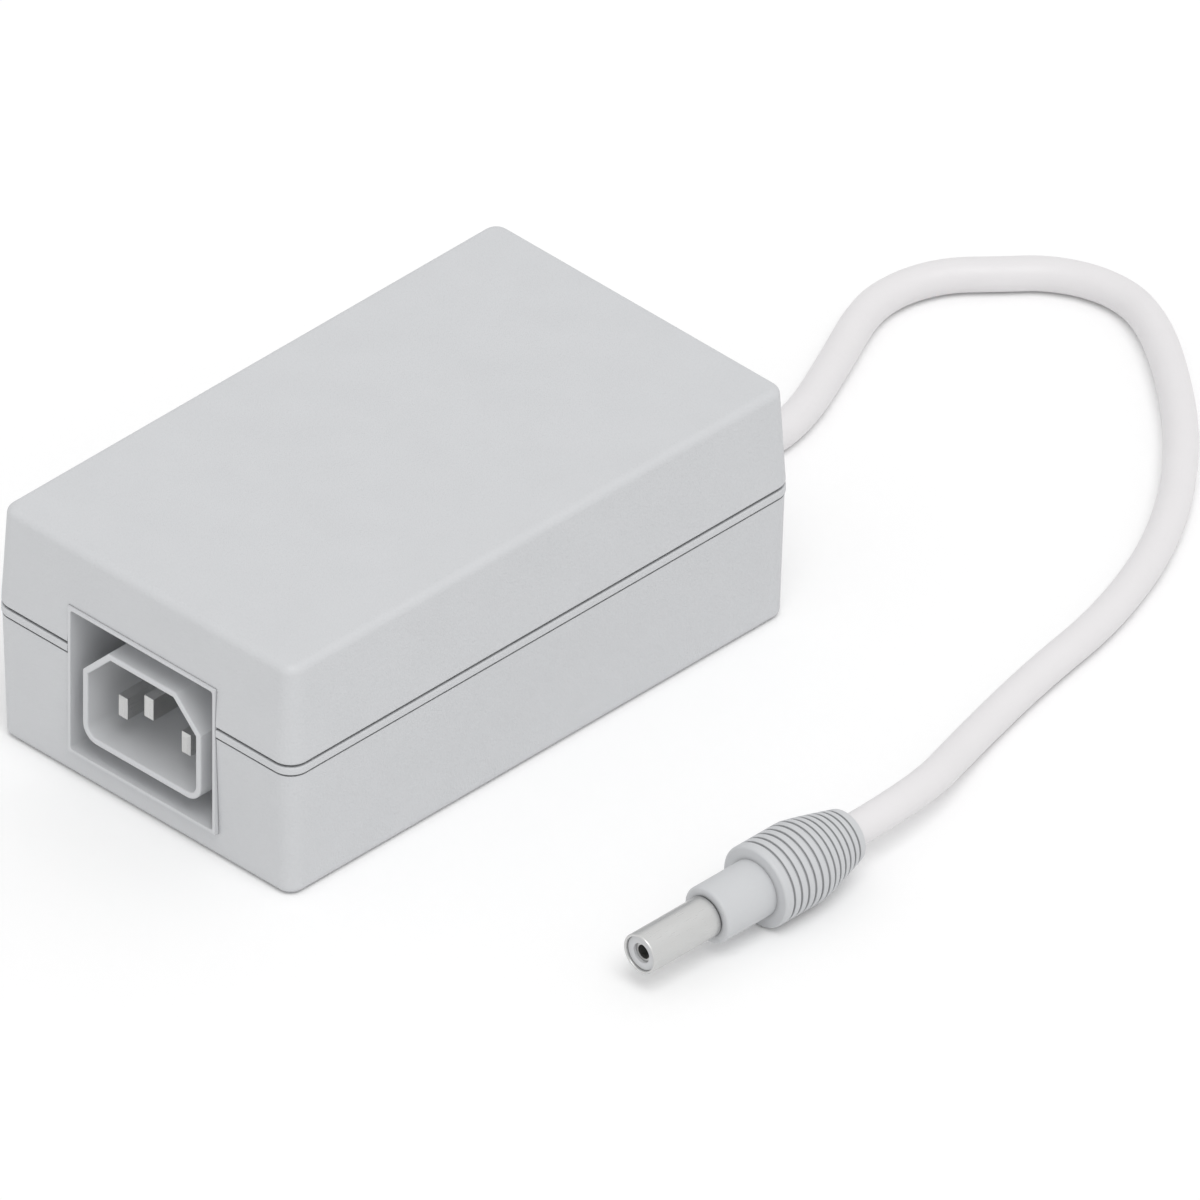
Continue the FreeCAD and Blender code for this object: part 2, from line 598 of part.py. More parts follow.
def lower_shell():
    """Lower half: drafted walls, grooved band and lip at the joint, bosses, posts, inlet seat, cord exit."""
    body = new_body("lower_shell")
    end_corner = S.case_corner - S.case_draft
    loft(body, "AdditiveLoft", "walls", [
        (0.0, case_outline(0.0, S.case_draft, end_corner)),
        (GROOVE_FOOT, case_outline(0.0, S.band_step, S.case_corner - S.band_step)),
    ])
    groove_floor = case_outline(S.groove_depth, 0.0, S.case_corner - S.groove_depth)
    pad(body, "groove_floor", "Z", GROOVE_FOOT, BAND_FOOT, groove_floor)
    pad(body, "band", "Z", BAND_FOOT, S.joint_height, case_outline(0.0, 0.0, S.case_corner))
    ease(body, "band_edges", S.band_round, on_band)
    ease(body, "bottom_edge", S.case_edge, lambda edge: lies_at(edge, "Z", 0))
    loft(body, "SubtractiveLoft", "hollow", [
        (S.wall, case_outline(S.wall, S.case_draft, inner_corner())),
        (S.joint_height, case_outline(S.wall, 0.0, inner_corner())),
    ])
    lip_top = S.joint_height + S.lip_height
    pad(
        body, "lip", "Z", S.joint_height, lip_top,
        case_outline(S.wall - S.lip_thickness, 0.0, inner_corner() + S.lip_thickness),
        case_outline(S.wall, 0.0, inner_corner()),
    )
    pad(body, "bosses", "Z", S.wall, S.joint_height, *[Circle(place, S.boss_radius) for place in BOSSES])
    pad(body, "posts", "Z", S.wall, S.board_height, *[Circle(place, S.post_radius) for place in POSTS])
    seat_x = FLANGE_X + S.wall
    pad(body, "inlet_seat", "Z", S.wall, S.joint_height, Rectangle(-seat_x, seat_x, S.wall - END, SEAT_Y))
    for side, name in ((1, "right"), (-1, "left")):
        near = side * (TRAY_X + S.fit_gap)
        far = side * BOSS_X
        low, high = (near, far) if side > 0 else (far, near)
        keeper = Rectangle(low, high, KEEPER_FRONT, KEEPER_REAR)
        pad(body, f"keeper_{name}", "Z", S.wall, S.joint_height, keeper)
    exit_pad = S.relief_flange + S.wall
    pad(
        body, "exit_pad", "Y", RELIEF_INNER_Y, END - S.wall,
        Rectangle(-exit_pad, exit_pad, S.wall, S.exit_height + exit_pad),
    )
    opening_top = lip_top + S.wall
    pocket(
        body, "inlet_opening", "Y", -1 * END - S.wall, SEAT_Y + S.fit_gap,
        Rectangle(-OPENING_X, OPENING_X, OPENING_LOW, opening_top),
    )
    head_seat = S.joint_height - S.screw_bite
    head_hole = S.screw_head_radius + S.head_gap
    shank_hole = S.screw_radius + S.screw_gap
    pocket(body, "counterbores", "Z", 0.0, head_seat, *[Circle(place, head_hole) for place in BOSSES])
    pocket(body, "screw_holes", "Z", head_seat, S.joint_height, *[Circle(p, shank_hole) for p in BOSSES])
    post_hole = S.board_screw_radius + S.screw_gap
    hole_foot = S.board_height - S.board_screw_depth - S.screw_gap
    pocket(body, "post_holes", "Z", hole_foot, S.board_height, *[Circle(p, post_hole) for p in POSTS])
    centre = (0.0, S.exit_height)
    pocket(body, "exit_recess", "Y", RELIEF_SEAT_Y, END + S.wall, Circle(centre, S.relief_flange + S.fit_gap))
    pocket(body, "exit_hole", "Y", RELIEF_INNER_Y - S.wall, END, Circle(centre, S.relief_neck))
    return body


def upper_shell():
    """Upper half: drafted walls and roof, rebate for the lip, footed bosses, and the inlet's upper seat."""
    body = new_body("upper_shell")
    roof = S.case_height - S.wall
    end_corner = S.case_corner - S.case_draft
    loft(body, "AdditiveLoft", "walls", [
        (S.case_height, case_outline(0.0, S.case_draft, end_corner)),
        (UPPER_FOOT, case_outline(0.0, 0.0, S.case_corner)),
    ])
    ease(body, "top_edge", S.case_edge, lambda edge: lies_at(edge, "Z", S.case_height))
    ease(body, "joint_edge", S.joint_round, lambda edge: lies_at(edge, "Z", UPPER_FOOT))
    loft(body, "SubtractiveLoft", "hollow", [
        (UPPER_FOOT, case_outline(S.wall, 0.0, inner_corner())),
        (roof, case_outline(S.wall, S.case_draft, inner_corner())),
    ])
    bosses = [Circle(place, S.boss_radius) for place in BOSSES]
    pad(body, "bosses", "Z", UPPER_FOOT, roof, *bosses)
    seat_x = FLANGE_X + S.wall
    pad(body, "inlet_seat", "Z", UPPER_FOOT, roof, Rectangle(-seat_x, seat_x, S.wall - END, SEAT_Y))
    keeper = Rectangle(-BOSS_X, BOSS_X, KEEPER_FRONT, KEEPER_REAR)
    pad(body, "keeper", "Z", UPPER_FOOT, roof, keeper)
    rebate_out = S.wall - S.lip_thickness - S.fit_gap
    pocket(
        body, "rebate", "Z", UPPER_FOOT, S.joint_height + S.lip_height + S.fit_gap,
        case_outline(rebate_out, 0.0, inner_corner() + S.lip_thickness),
        case_outline(S.wall + S.fit_gap, 0.0, inner_corner()),
    )
    feet = [Circle(place, S.boss_inset - S.fit_gap) for place in BOSSES]
    pad(body, "boss_feet", "Z", S.joint_height, UPPER_FOOT, *feet)
    opening_foot = S.joint_height - S.wall
    pocket(
        body, "inlet_opening", "Y", -1 * END - S.wall, SEAT_Y + S.fit_gap,
        Rectangle(-OPENING_X, OPENING_X, opening_foot, OPENING_HIGH),
    )
    notch = TRAY_X + S.fit_gap
    pocket(
        body, "keeper_notch", "Y", KEEPER_FRONT - S.fit_gap, KEEPER_REAR + S.fit_gap,
        Rectangle(-notch, notch, opening_foot, TRAY_HIGH + S.fit_gap),
    )
    pilot_top = S.joint_height + S.screw_bite + S.screw_gap
    pilots = [Circle(place, S.screw_radius + S.screw_gap) for place in BOSSES]
    pocket(body, "pilot_holes", "Z", S.joint_height, pilot_top, *pilots)
    return body


def screw_outline(x, head, head_height, shank, length, sense):
    """Half section of a pan-head screw at x; its head seats at height 0 and sense +1 points it up."""
    return Polygon(
        (x, -sense * head_height),
        (x + head * 0.7, -sense * head_height),
        (x + head, -sense * head_height / 2),
        (x + head, 0.0),
        (x + shank, 0.0),
        (x + shank, sense * (length - shank)),
        (x + shank / 2, sense * length),
        (x, sense * length),
    )


def cross(x, y, reach, arm):
    """Cross-shaped outline for a screwdriver."""
    return Polygon(
        (x + arm, y + arm), (x + arm, y + reach), (x - arm, y + reach), (x - arm, y + arm),
        (x - reach, y + arm), (x - reach, y - arm), (x - arm, y - arm), (x - arm, y - reach),
        (x + arm, y - reach), (x + arm, y - arm), (x + reach, y - arm), (x + reach, y + arm),
    )


def screw_set(label, place, spread, head, head_height, shank, length, sense):
    """Four equal cross-head screws, one at each corner of a rectangle about the place."""
    body = new_body(label, *place)
    x, y = spread
    profile = screw_outline(x, head, head_height, shank, length, sense)
    section = sketch_on(body, "screw_section", "XZ_Plane", -y, [profile])
    screw = body.newObject("PartDesign::Revolution", "screw")
    screw.Profile = section
    screw.ReferenceAxis = (section, [f"Edge{len(profile.corners)}"])
    screw.Angle = 360.0
    ends = (-head_height, -head_height / 2) if sense > 0 else (head_height / 2, head_height)
    recess = pocket(body, "recess", "Z", *ends, cross(x, y, head * 0.55, head * 0.14))
    mirror_both_ways(body, "four_screws", [screw, recess])
    return body


def case_screws():
    """Four screws driven up through the lower shell's bosses into the upper shell."""
    return screw_set(
        "case_screws", (0.0, 0.0, S.joint_height - S.screw_bite), (BOSS_X, BOSS_Y),
        S.screw_head_radius, S.screw_head_height, S.screw_radius, S.screw_bite * 2, 1,
    )


def board_screws():
    """Four screws that hold the circuit board on its posts."""
    middle = (POST_FRONT_Y + POST_REAR_Y) / 2
    reach = (POST_REAR_Y - POST_FRONT_Y) / 2
    length = S.board_thickness + S.board_screw_depth
    return screw_set(
        "board_screws", (0.0, middle, BOARD_TOP), (POST_X, reach),
        S.board_screw_head, S.board_screw_head * 0.7, S.board_screw_radius, length, -1,
    )


def socket_outline(grow):
    """Outline of the socket's cavity, or of its shroud where it is grown by the wall."""
    x = S.socket_width / 2 + grow
    low = S.socket_centre - S.socket_height / 2 - grow
    high = S.socket_centre + S.socket_height / 2 + grow
    key = S.socket_key + grow * MITRE
    return Polygon((-x, low), (x, low), (x, high - key), (x - key, high), (key - x, high), (-x, high - key))


def inlet_housing():
    """Inlet moulding: rim in the case's opening, flange and deep tray behind it, keyed shroud, pin block."""
    body = new_body("inlet_housing")
    tray_face = S.tray_depth - END
    pad(
        body, "tray", "Y", SEAT_Y, tray_face + S.tray_back,
        Rounded(-TRAY_X, TRAY_X, TRAY_LOW, TRAY_HIGH, S.tray_corner + S.tray_wall),
    )
    flange_top = TRAY_HIGH + S.flange_reach
    pad(body, "flange", "Y", SEAT_Y, FLANGE_REAR, Rectangle(-FLANGE_X, FLANGE_X, S.wall, flange_top))
    pocket(
        body, "tray_hollow", "Y", SEAT_Y - S.tray_wall, tray_face,
        Rounded(-HOLLOW_X, HOLLOW_X, HOLLOW_LOW, HOLLOW_HIGH, S.tray_corner),
    )
    pad(body, "shroud", "Y", -END, SOCKET_REAR, socket_outline(S.socket_wall))
    outer_foot = S.socket_centre - S.socket_height / 2 - S.socket_wall
    ease(
        body, "shroud_corners", S.socket_corner + S.socket_wall,
        lambda edge: runs_along(edge, "Y") and lies_at(edge, "Z", outer_foot),
    )
    pocket(body, "cavity", "Y", -END - S.socket_wall, SOCKET_FLOOR, socket_outline(0.0))
    inner_foot = outer_foot + S.socket_wall
    ease(
        body, "cavity_corners", S.socket_corner,
        lambda edge: runs_along(edge, "Y") and lies_at(edge, "Z", inner_foot),
    )
    ease(body, "mouth", S.mouth_round, lambda edge: lies_at(edge, "Y", -END))
    pad(
        body, "rim", "Y", -END, SEAT_Y,
        Rectangle(-RIM_X, RIM_X, RIM_LOW, RIM_HIGH),
        Rounded(-HOLLOW_X, HOLLOW_X, HOLLOW_LOW, HOLLOW_HIGH, S.tray_corner),
    )
    slots = []
    for x, height in ((-S.pin_pitch / 2, LOW_PINS), (S.pin_pitch / 2, LOW_PINS), (0.0, HIGH_PIN)):
        half_x, half_z = S.pin_thickness / 2, S.pin_height / 2
        slots.append(Rectangle(x - half_x, x + half_x, height - half_z, height + half_z))
    pocket(body, "pin_slots", "Y", SOCKET_FLOOR - S.mouth_round, SOCKET_REAR + S.mouth_round, *slots)
    return body


def inlet_pin(label, x, height, setback, leg_gap):
    """Contact blade of the inlet: out to its tip, back through the housing, down to the board."""
    body = new_body(label, x)
    tip = setback - END
    leg_front = BOARD_FRONT + leg_gap
    leg_rear = leg_front + S.pin_leg
    low = height - S.pin_height / 2
    high = height + S.pin_height / 2
    half = S.pin_thickness / 2
    pad(body, "blade", "X", -half, half, Polygon(
        (tip, low), (leg_front, low), (leg_front, BOARD_TOP),
        (leg_rear, BOARD_TOP), (leg_rear, high), (tip, high),
    ))
    ease(body, "tip", S.pin_tip, lambda edge: lies_at(edge, "Y", tip), "Chamfer")
    bend = S.pin_leg
    ease(body, "bend", bend, lambda edge: lies_at(edge, "Y", leg_rear) and lies_at(edge, "Z", high))
    return body


def circuit_board():
    """Board with screw holes, its rear corners notched round the bosses."""
    body = new_body("circuit_board", 0.0, 0.0, S.board_height)
    notch_x = BOSS_X - S.boss_radius - S.board_notch
    notch_y = BOSS_Y - S.boss_radius - S.board_notch
    holes = [Circle(place, S.board_screw_radius + S.screw_gap) for place in POSTS]
    outline = Polygon(
        (-BOARD_X, BOARD_FRONT), (BOARD_X, BOARD_FRONT), (BOARD_X, notch_y), (notch_x, notch_y),
        (notch_x, BOARD_REAR), (-notch_x, BOARD_REAR), (-notch_x, notch_y), (-BOARD_X, notch_y),
    )
    pad(body, "board", "Z", 0.0, S.board_thickness, outline, *holes)
    return body


def insulation_sheet():
    """Thin sheet on the case's floor, between the posts."""
    sheet = DOC.addObject("Part::Box", "insulation_sheet")
    sheet.Label = "insulation_sheet"
    half = POST_X - S.post_radius - S.sheet_margin
    bind(sheet, "Length", half * 2)
    bind(sheet, "Width", BOARD_REAR - BOARD_FRONT - S.post_rear)
    bind(sheet, "Height", S.sheet_thickness)
    bind(sheet, "Placement.Base.x", -half)
    bind(sheet, "Placement.Base.y", BOARD_FRONT + S.sheet_margin)
    bind(sheet, "Placement.Base.z", S.wall)
    PIECES.append(sheet)
    return sheet


def can(label, x, y, radius, height):
    """Electrolytic capacitor: sleeved can with a bead above its foot and a turned-in top."""
    body = new_body(label, x, y, BOARD_TOP)
    bead = radius * 0.08
    turned(
        body, "can",
        (0.0, 0.0), (radius - bead, 0.0), (radius, bead), (radius, height * 0.1),
        (radius - bead, height * 0.1 + bead), (radius, height * 0.1 + bead * 2),
        (radius, height - bead), (radius - bead, height),
        (radius - bead * 2, height - bead), (0.0, height - bead),
    )
    return body


def fuse():
    """Round encapsulated fuse."""
    body = new_body("fuse", FUSE_X, FRONT_ROW, BOARD_TOP)
    pad(body, "case", "Z", 0.0, S.fuse_height, Circle((0.0, 0.0), S.fuse_radius))
    ease(body, "top", S.fuse_radius / 6, lambda edge: lies_at(edge, "Z", S.fuse_height))
    return body


def disc_part(label, x, y):
    """Lacquered disc on two wires: thermistor, varistor or safety capacitor."""
    body = new_body(label, x, y, BOARD_TOP)
    half = S.disc_thickness / 2
    height = S.disc_lift + S.disc_radius
    pad(body, "disc", "Y", -half, half, Circle((0.0, height), S.disc_radius))
    ease(body, "lacquer", half * 0.8, lambda edge: lies_at(edge, "Y", -half) or lies_at(edge, "Y", half))
    wires = []
    for side in (-1, 1):
        middle = side * S.disc_radius / 2
        wires.append(Rectangle(middle - S.lead_wire, middle + S.lead_wire, 0.0, height))
    pad(body, "wires", "Y", -S.lead_wire, S.lead_wire, *wires)
    return body


def mains_capacitor():
    """Boxed interference capacitor across the mains."""
    x = BOARD_X - S.part_gap - S.mains_capacitor_width / 2
    body = new_body("mains_capacitor", x, FRONT_ROW, BOARD_TOP)
    half_x, half_y = S.mains_capacitor_width / 2, S.mains_capacitor_depth / 2
    edge_radius = S.part_gap / 2
    outline = Rounded(-half_x, half_x, -half_y, half_y, edge_radius)
    pad(body, "box", "Z", 0.0, S.mains_capacitor_height, outline)
    ease(body, "top", edge_radius / 2, lambda edge: lies_at(edge, "Z", S.mains_capacitor_height))
    return body


def choke_base():
    """Round base that carries the ring choke."""
    body = new_body("choke_base", CHOKE_X, CHOKE_Y, BOARD_TOP)
    pad(body, "disc", "Z", 0.0, S.choke_base, Circle((0.0, 0.0), S.choke_outer))
    return body


def choke_core():
    """Ring core of the common-mode choke."""
    body = new_body("choke_core", CHOKE_X, CHOKE_Y, BOARD_TOP + S.choke_base + S.choke_wire)
    turned(
        body, "ring",
        (S.choke_inner, 0.0), (S.choke_outer, 0.0),
        (S.choke_outer, S.choke_height), (S.choke_inner, S.choke_height),
    )
    return body


def choke_winding(label, start):
    """One winding of the choke: a sleeve round a third of the ring, grooved into turns."""
    base = BOARD_TOP + S.choke_base + S.choke_wire
    body = new_body(label, CHOKE_X, CHOKE_Y, base, (FreeCAD.Vector(0, 0, 1), start))
    wire = S.choke_wire
    core = Rectangle(S.choke_inner, S.choke_outer, 0.0, S.choke_height)
    around = Rectangle(S.choke_inner - wire, S.choke_outer + wire, -wire, S.choke_height + wire)
    section = sketch_on(body, "sleeve_outline", "XZ_Plane", 0.0, [around, core])
    sleeve = body.newObject("PartDesign::Revolution", "sleeve")
    sleeve.Profile = section
    sleeve.ReferenceAxis = (section, ["V_Axis"])
    sleeve.Angle = WINDING_SWEEP
    skin = wire / 3
    beyond = Rectangle(
        S.choke_inner - wire * 2, S.choke_outer + wire * 2, wire * -2, S.choke_height + wire * 2,
    )
    within = Rectangle(
        S.choke_inner - wire + skin, S.choke_outer + wire - skin, skin - wire, S.choke_height + wire - skin,
    )
    groove = pocket(body, "groove", "Y", -skin / 2, skin / 2, beyond, within)
    turns = body.newObject("PartDesign::PolarPattern", "turns")
    turns.Originals = [groove]
    axis = next(item for item in body.Origin.OriginFeatures if item.Role == "Z_Axis")
    turns.Axis = (axis, [""])
    turns.Reversed = sleeve.Reversed
    turns.Angle = WINDING_SWEEP
    turns.Occurrences = WINDING_TURNS
    body.Tip = turns
    return body


def legs_row(body, name, count, pitch, half, low, high):
    """Row of flat legs along X, spaced by a pitch and centred on the body."""
    row = []
    for number in range(count):
        middle = pitch * (number - (count - 1) / 2)
        row.append(Rectangle(middle - half, middle + half, -half, half))
    return pad(body, name, "Z", low, high, *row)


def bridge_rectifier():
    """Flat upright rectifier block with a mounting hole and four legs."""
    x = SINK_X - S.package_depth - S.bridge_width / 2
    body = new_body("bridge_rectifier", x, BRIDGE_Y, BOARD_TOP)
    half_x, half_y = S.bridge_width / 2, S.bridge_depth / 2
    top = S.bridge_lift + S.bridge_height
    corner = S.bridge_width / 8
    pad(
        body, "block", "Y", -half_y, half_y,
        Polygon(
            (-half_x, S.bridge_lift), (half_x, S.bridge_lift), (half_x, top),
            (corner - half_x, top), (-half_x, top - corner),
        ),
        Circle((0.0, top - S.bridge_height / 4), S.bridge_width / 12),
    )
    legs_row(body, "legs", 4, S.bridge_width / 4, S.lead_wire, 0.0, S.bridge_lift)
    return body


def heatsink(label, y, hand):
    """Finned plate that stands on the board with its flat face inwards."""
    side = 1 if hand is RIGHT_HAND else -1
    body = new_body(label, side * SINK_X, y, BOARD_TOP, hand)
    half = S.sink_length / 2
    screw_height = package_screw_height()
    pad(body, "plate", "Z", 0.0, S.sink_height, Rectangle(0.0, S.sink_thickness, -half, half))
    root = S.sink_thickness
    fin_outline = Rectangle(root, root + S.sink_reach, -half, S.sink_fin - half)
    fin = pad(body, "fin", "Z", 0.0, S.sink_height, fin_outline)
    fins = body.newObject("PartDesign::LinearPattern", "fins")
    fins.Originals = [fin]
    axis = next(item for item in body.Origin.OriginFeatures if item.Role == "Y_Axis")
    fins.Direction = (axis, [""])
    bind(fins, "Length", S.sink_length - S.sink_fin)
    fins.Occurrences = int(plain(S.sink_fins))
    body.Tip = fins
    pocket(
        body, "screw_hole", "X", 0.0, S.sink_thickness,
        Circle((0.0, screw_height), S.board_screw_radius + S.screw_gap),
    )
    return body


def package_screw_height():
    """Height of a power package's screw above the board."""
    return S.package_lift + S.package_height + S.tab_height / 2


def power_package(label, y, hand):
    """Power package: metal tab flat on the heatsink, moulded block, and three legs to the board."""
    side = 1 if hand is RIGHT_HAND else -1
    body = new_body(label, side * SINK_X, y, BOARD_TOP, hand)
    half = S.package_width / 2
    block_top = S.package_lift + S.package_height
    pad(
        body, "tab", "X", -S.tab_thickness, 0.0,
        Rectangle(-half, half, S.package_lift, block_top + S.tab_height),
        Circle((0.0, package_screw_height()), S.board_screw_radius + S.screw_gap),
    )
    draft = S.tab_thickness / 4
    moulding = Rectangle(-S.package_depth, -S.tab_thickness, -half, half)
    pad(body, "block", "Z", S.package_lift, block_top, moulding)
    ease(body, "block_edges", draft, lambda edge: lies_at(edge, "X", -S.package_depth), "Chamfer")
    legs = []
    for number in (-1, 0, 1):
        middle = number * S.chip_pitch
        legs.append(Rectangle(middle - S.lead_wire, middle + S.lead_wire, 0.0, S.package_lift))
    pad(body, "legs", "X", -S.tab_thickness * 2, -S.tab_thickness, *legs)
    return body


def sink_screw(label, y, hand):
    """Screw that clamps a power package to its heatsink."""
    side = 1 if hand is RIGHT_HAND else -1
    turn = FreeCAD.Rotation(*hand).multiply(FreeCAD.Rotation(FreeCAD.Vector(0, 1, 0), 90))
    x = side * (SINK_X - S.tab_thickness)
    body = new_body(label, x, y, BOARD_TOP + package_screw_height(), (turn.Axis, math.degrees(turn.Angle)))
    head, height = S.board_screw_head, S.board_screw_head * 0.7
    length = S.tab_thickness + S.sink_thickness
    section = screw_outline(0.0, head, height, S.board_screw_radius, length, 1)
    turned(body, "screw", *section.corners)
    pocket(body, "recess", "Z", -height, -height / 2, cross(0.0, 0.0, head * 0.55, head * 0.14))
    return body


def transformer_sizes():
    """Half sizes of the transformer's coil former, windings and flanges, and its middle height."""
    window = S.core_width / 2 - S.core_limb - S.core_centre / 2
    former_x = S.core_centre / 2 + S.bobbin_wall
    former_z = S.core_depth / 2 + S.bobbin_wall
    build = window - S.bobbin_wall - S.fit_gap
    rim_z = former_z + build + S.bobbin_rim
    return former_x, former_z, build, rim_z, BOARD_TOP + S.bobbin_foot + rim_z


def transformer_core(label, hand):
    """One E-shaped half of the core; its limbs meet the other half's."""
    middle = transformer_sizes()[-1]
    body = new_body(label, CORE_X, CORE_Y, middle, hand)
    x, y, limb, centre = S.core_width / 2, S.core_length / 2, S.core_limb, S.core_centre / 2
    pad(body, "half_core", "Z", -S.core_depth / 2, S.core_depth / 2, Polygon(
        (-x, -y), (x, -y), (x, 0.0), (x - limb, 0.0), (x - limb, limb - y), (centre, limb - y),
        (centre, 0.0), (-centre, 0.0), (-centre, limb - y), (limb - x, limb - y), (limb - x, 0.0), (-x, 0.0),
    ))
    return body


def transformer_bobbin():
    """Coil former on the middle limb: tube, two flanges and two feet on the board."""
    former_x, former_z, build, rim_z, middle = transformer_sizes()
    body = new_body("transformer_bobbin", CORE_X, CORE_Y, middle)
    end = S.core_length / 2 - S.core_limb
    rim_x = former_x + build
    pad(body, "former", "Y", -end, end, Rectangle(-former_x, former_x, -former_z, former_z))
    flange = Rectangle(-rim_x, rim_x, -rim_z, rim_z)
    foot = Rectangle(-rim_x, rim_x, -rim_z - S.bobbin_foot, -rim_z)
    for name, low, high, foot_low, foot_high in (
        ("front", -end, S.bobbin_wall - end, -end, S.bobbin_foot - end),
        ("rear", end - S.bobbin_wall, end, end - S.bobbin_foot, end),
    ):
        pad(body, f"{name}_flange", "Y", low, high, flange)
        pad(body, f"{name}_foot", "Y", foot_low, foot_high, foot)
    limb_x, limb_z = S.core_centre / 2, S.core_depth / 2
    pocket(body, "limb_hole", "Y", -end, end, Rectangle(-limb_x, limb_x, -limb_z, limb_z))
    return body


def transformer_layer(label, inner, outer):
    """Layer round the coil former, between two shares of its winding space."""
    former_x, former_z, _, _, middle = transformer_sizes()
    body = new_body(label, CORE_X, CORE_Y, middle)
    end = S.core_length / 2 - S.core_limb - S.bobbin_wall
    rounding = S.bobbin_wall
    x, z = former_x + outer, former_z + outer
    far = Rounded(-x, x, -z, z, rounding + outer)
    if plain(inner) > 0:
        x, z = former_x + inner, former_z + inner
        near = Rounded(-x, x, -z, z, rounding + inner)
    else:
        near = Rectangle(-former_x, former_x, -former_z, former_z)
    pad(body, "layer", "Y", -end, end, far, near)
    return body


def chip(label, x, y, pairs):
    """Chip in a dual-in-line body, its legs stepping down to the board on both sides."""
    body = new_body(label, x, y, BOARD_TOP)
    half_x = S.chip_width / 2
    half_y = S.chip_pitch * pairs / 2
    top = S.chip_lift + S.chip_height
    wire = S.lead_wire / 2
    pad(body, "moulding", "Z", S.chip_lift, top, Rectangle(-half_x, half_x, -half_y, half_y))
    ease(body, "top_edges", wire * 2, lambda edge: lies_at(edge, "Z", top), "Chamfer")
    middle = S.chip_lift + S.chip_height / 2
    reach = half_x + S.chip_lift
    first = S.chip_pitch / 2 - half_y
    left, right = [], []
    for side, corners in ((-1, left), (1, right)):
        for x_place, z_place in (
            (half_x, middle - wire), (reach, middle - wire), (reach, 0.0),
            (reach + wire * 2, 0.0), (reach + wire * 2, middle + wire), (half_x, middle + wire),
        ):
            corners.append((side * x_place, z_place))
    pair = pad(body, "legs", "Y", first - S.lead_wire, first + S.lead_wire, Polygon(*left), Polygon(*right))
    rows = body.newObject("PartDesign::LinearPattern", "leg_rows")
    rows.Originals = [pair]
    axis = next(item for item in body.Origin.OriginFeatures if item.Role == "Y_Axis")
    rows.Direction = (axis, [""])
    bind(rows, "Length", S.chip_pitch * (pairs - 1))
    rows.Occurrences = pairs
    body.Tip = rows
    return body


def resistor(label, x, y):
    """Axial power resistor lying along X, its wires bent down to the board."""
    lift = S.resistor_radius + S.disc_lift
    turn = (FreeCAD.Vector(0, 1, 0), 90)
    body = new_body(label, x, y, BOARD_TOP + lift, turn)
    half, wire = S.resistor_length / 2, S.lead_wire
    end = half + S.resistor_radius
    radius, waist = S.resistor_radius, S.resistor_radius * 0.85
    turned(
        body, "resistor",
        (0.0, -end), (wire, -end), (wire, -half), (radius, -half),
        (radius, -half * 0.6), (waist, -half * 0.5), (waist, half * 0.5), (radius, half * 0.6),
        (radius, half), (wire, half), (wire, end), (0.0, end),
    )
    legs = [Rectangle(-wire, wire, end - wire * 2, end), Rectangle(-wire, wire, -end, wire * 2 - end)]
    pad(body, "legs", "X", 0.0, lift, *legs)
    return body


def filter_core():
    """Drum core of the output filter coil."""
    body = new_body("filter_core", FILTER_X, OUTPUT_Y, BOARD_TOP)
    radius, height, rim = S.filter_radius, S.filter_height, S.filter_height / 8
    turned(
        body, "drum",
        (0.0, 0.0), (radius, 0.0), (radius, rim), (radius / 2, rim), (radius / 2, height - rim),
        (radius, height - rim), (radius, height), (0.0, height),
    )
    return body


def filter_winding():
    """Copper in the drum's waist."""
    body = new_body("filter_winding", FILTER_X, OUTPUT_Y, BOARD_TOP)
    radius, height, rim = S.filter_radius, S.filter_height, S.filter_height / 8
    outside = radius - rim / 2
    turned(
        body, "copper",
        (radius / 2, rim), (outside, rim), (outside, height - rim), (radius / 2, height - rim),
    )
    return body


def strain_relief():
    """Moulded relief gripped in the exit hole, with a ringed tail that ends at the cord."""
    body = new_body("strain_relief", 0.0, RELIEF_INNER_Y, S.exit_height, TURN_BACK)
    neck = S.relief_neck - S.nest_gap
    flange, depth = S.relief_flange, S.relief_flange_depth
    tail_start = S.exit_wall + depth
    tail_end = END + S.relief_reach - RELIEF_INNER_Y
    rings = 4
    pitch = (tail_end - tail_start) / rings
    corners = [
        (0.0, -depth), (flange, -depth), (flange, 0.0), (neck, 0.0),
        (neck, S.exit_wall), (flange, S.exit_wall), (flange, tail_start),
    ]
    for ring in range(rings):
        start = tail_start + pitch * ring
        near = neck + (S.relief_tip - neck) * ring / rings
        corners += [(near - S.grip_groove, start), (near - S.grip_groove, start + pitch / 4)]
        corners += [(near, start + pitch / 4), (near, start + pitch)]
    corners += [(0.0, tail_end)]
    turned(body, "relief", *corners)
    return body


def route_path(points):
    """Straight runs joined by tangent arcs, each as large as its two runs allow."""
    places = [FreeCAD.Vector(*point) for point in points]
    edges, radii = [], []
    start = places[0]
    for before, corner, after in zip(places, places[1:], places[2:]):
        back, ahead = before - corner, after - corner
        trim = ARC_SHARE * min(back.Length, ahead.Length)
        half_turn = (math.pi - back.getAngle(ahead)) / 2
        radii.append(trim / math.tan(half_turn))
        back.normalize()
        ahead.normalize()
        arc_start = corner + back * trim
        arc_end = corner + ahead * trim
        inward = (back + ahead).normalize()
        rise = radii[-1] / math.cos(half_turn) - radii[-1]
        edges.append(Part.LineSegment(start, arc_start).toShape())
        edges.append(Part.Arc(arc_start, corner + inward * rise, arc_end).toShape())
        start = arc_end
    edges.append(Part.LineSegment(start, places[-1]).toShape())
    return Part.Wire(edges), radii


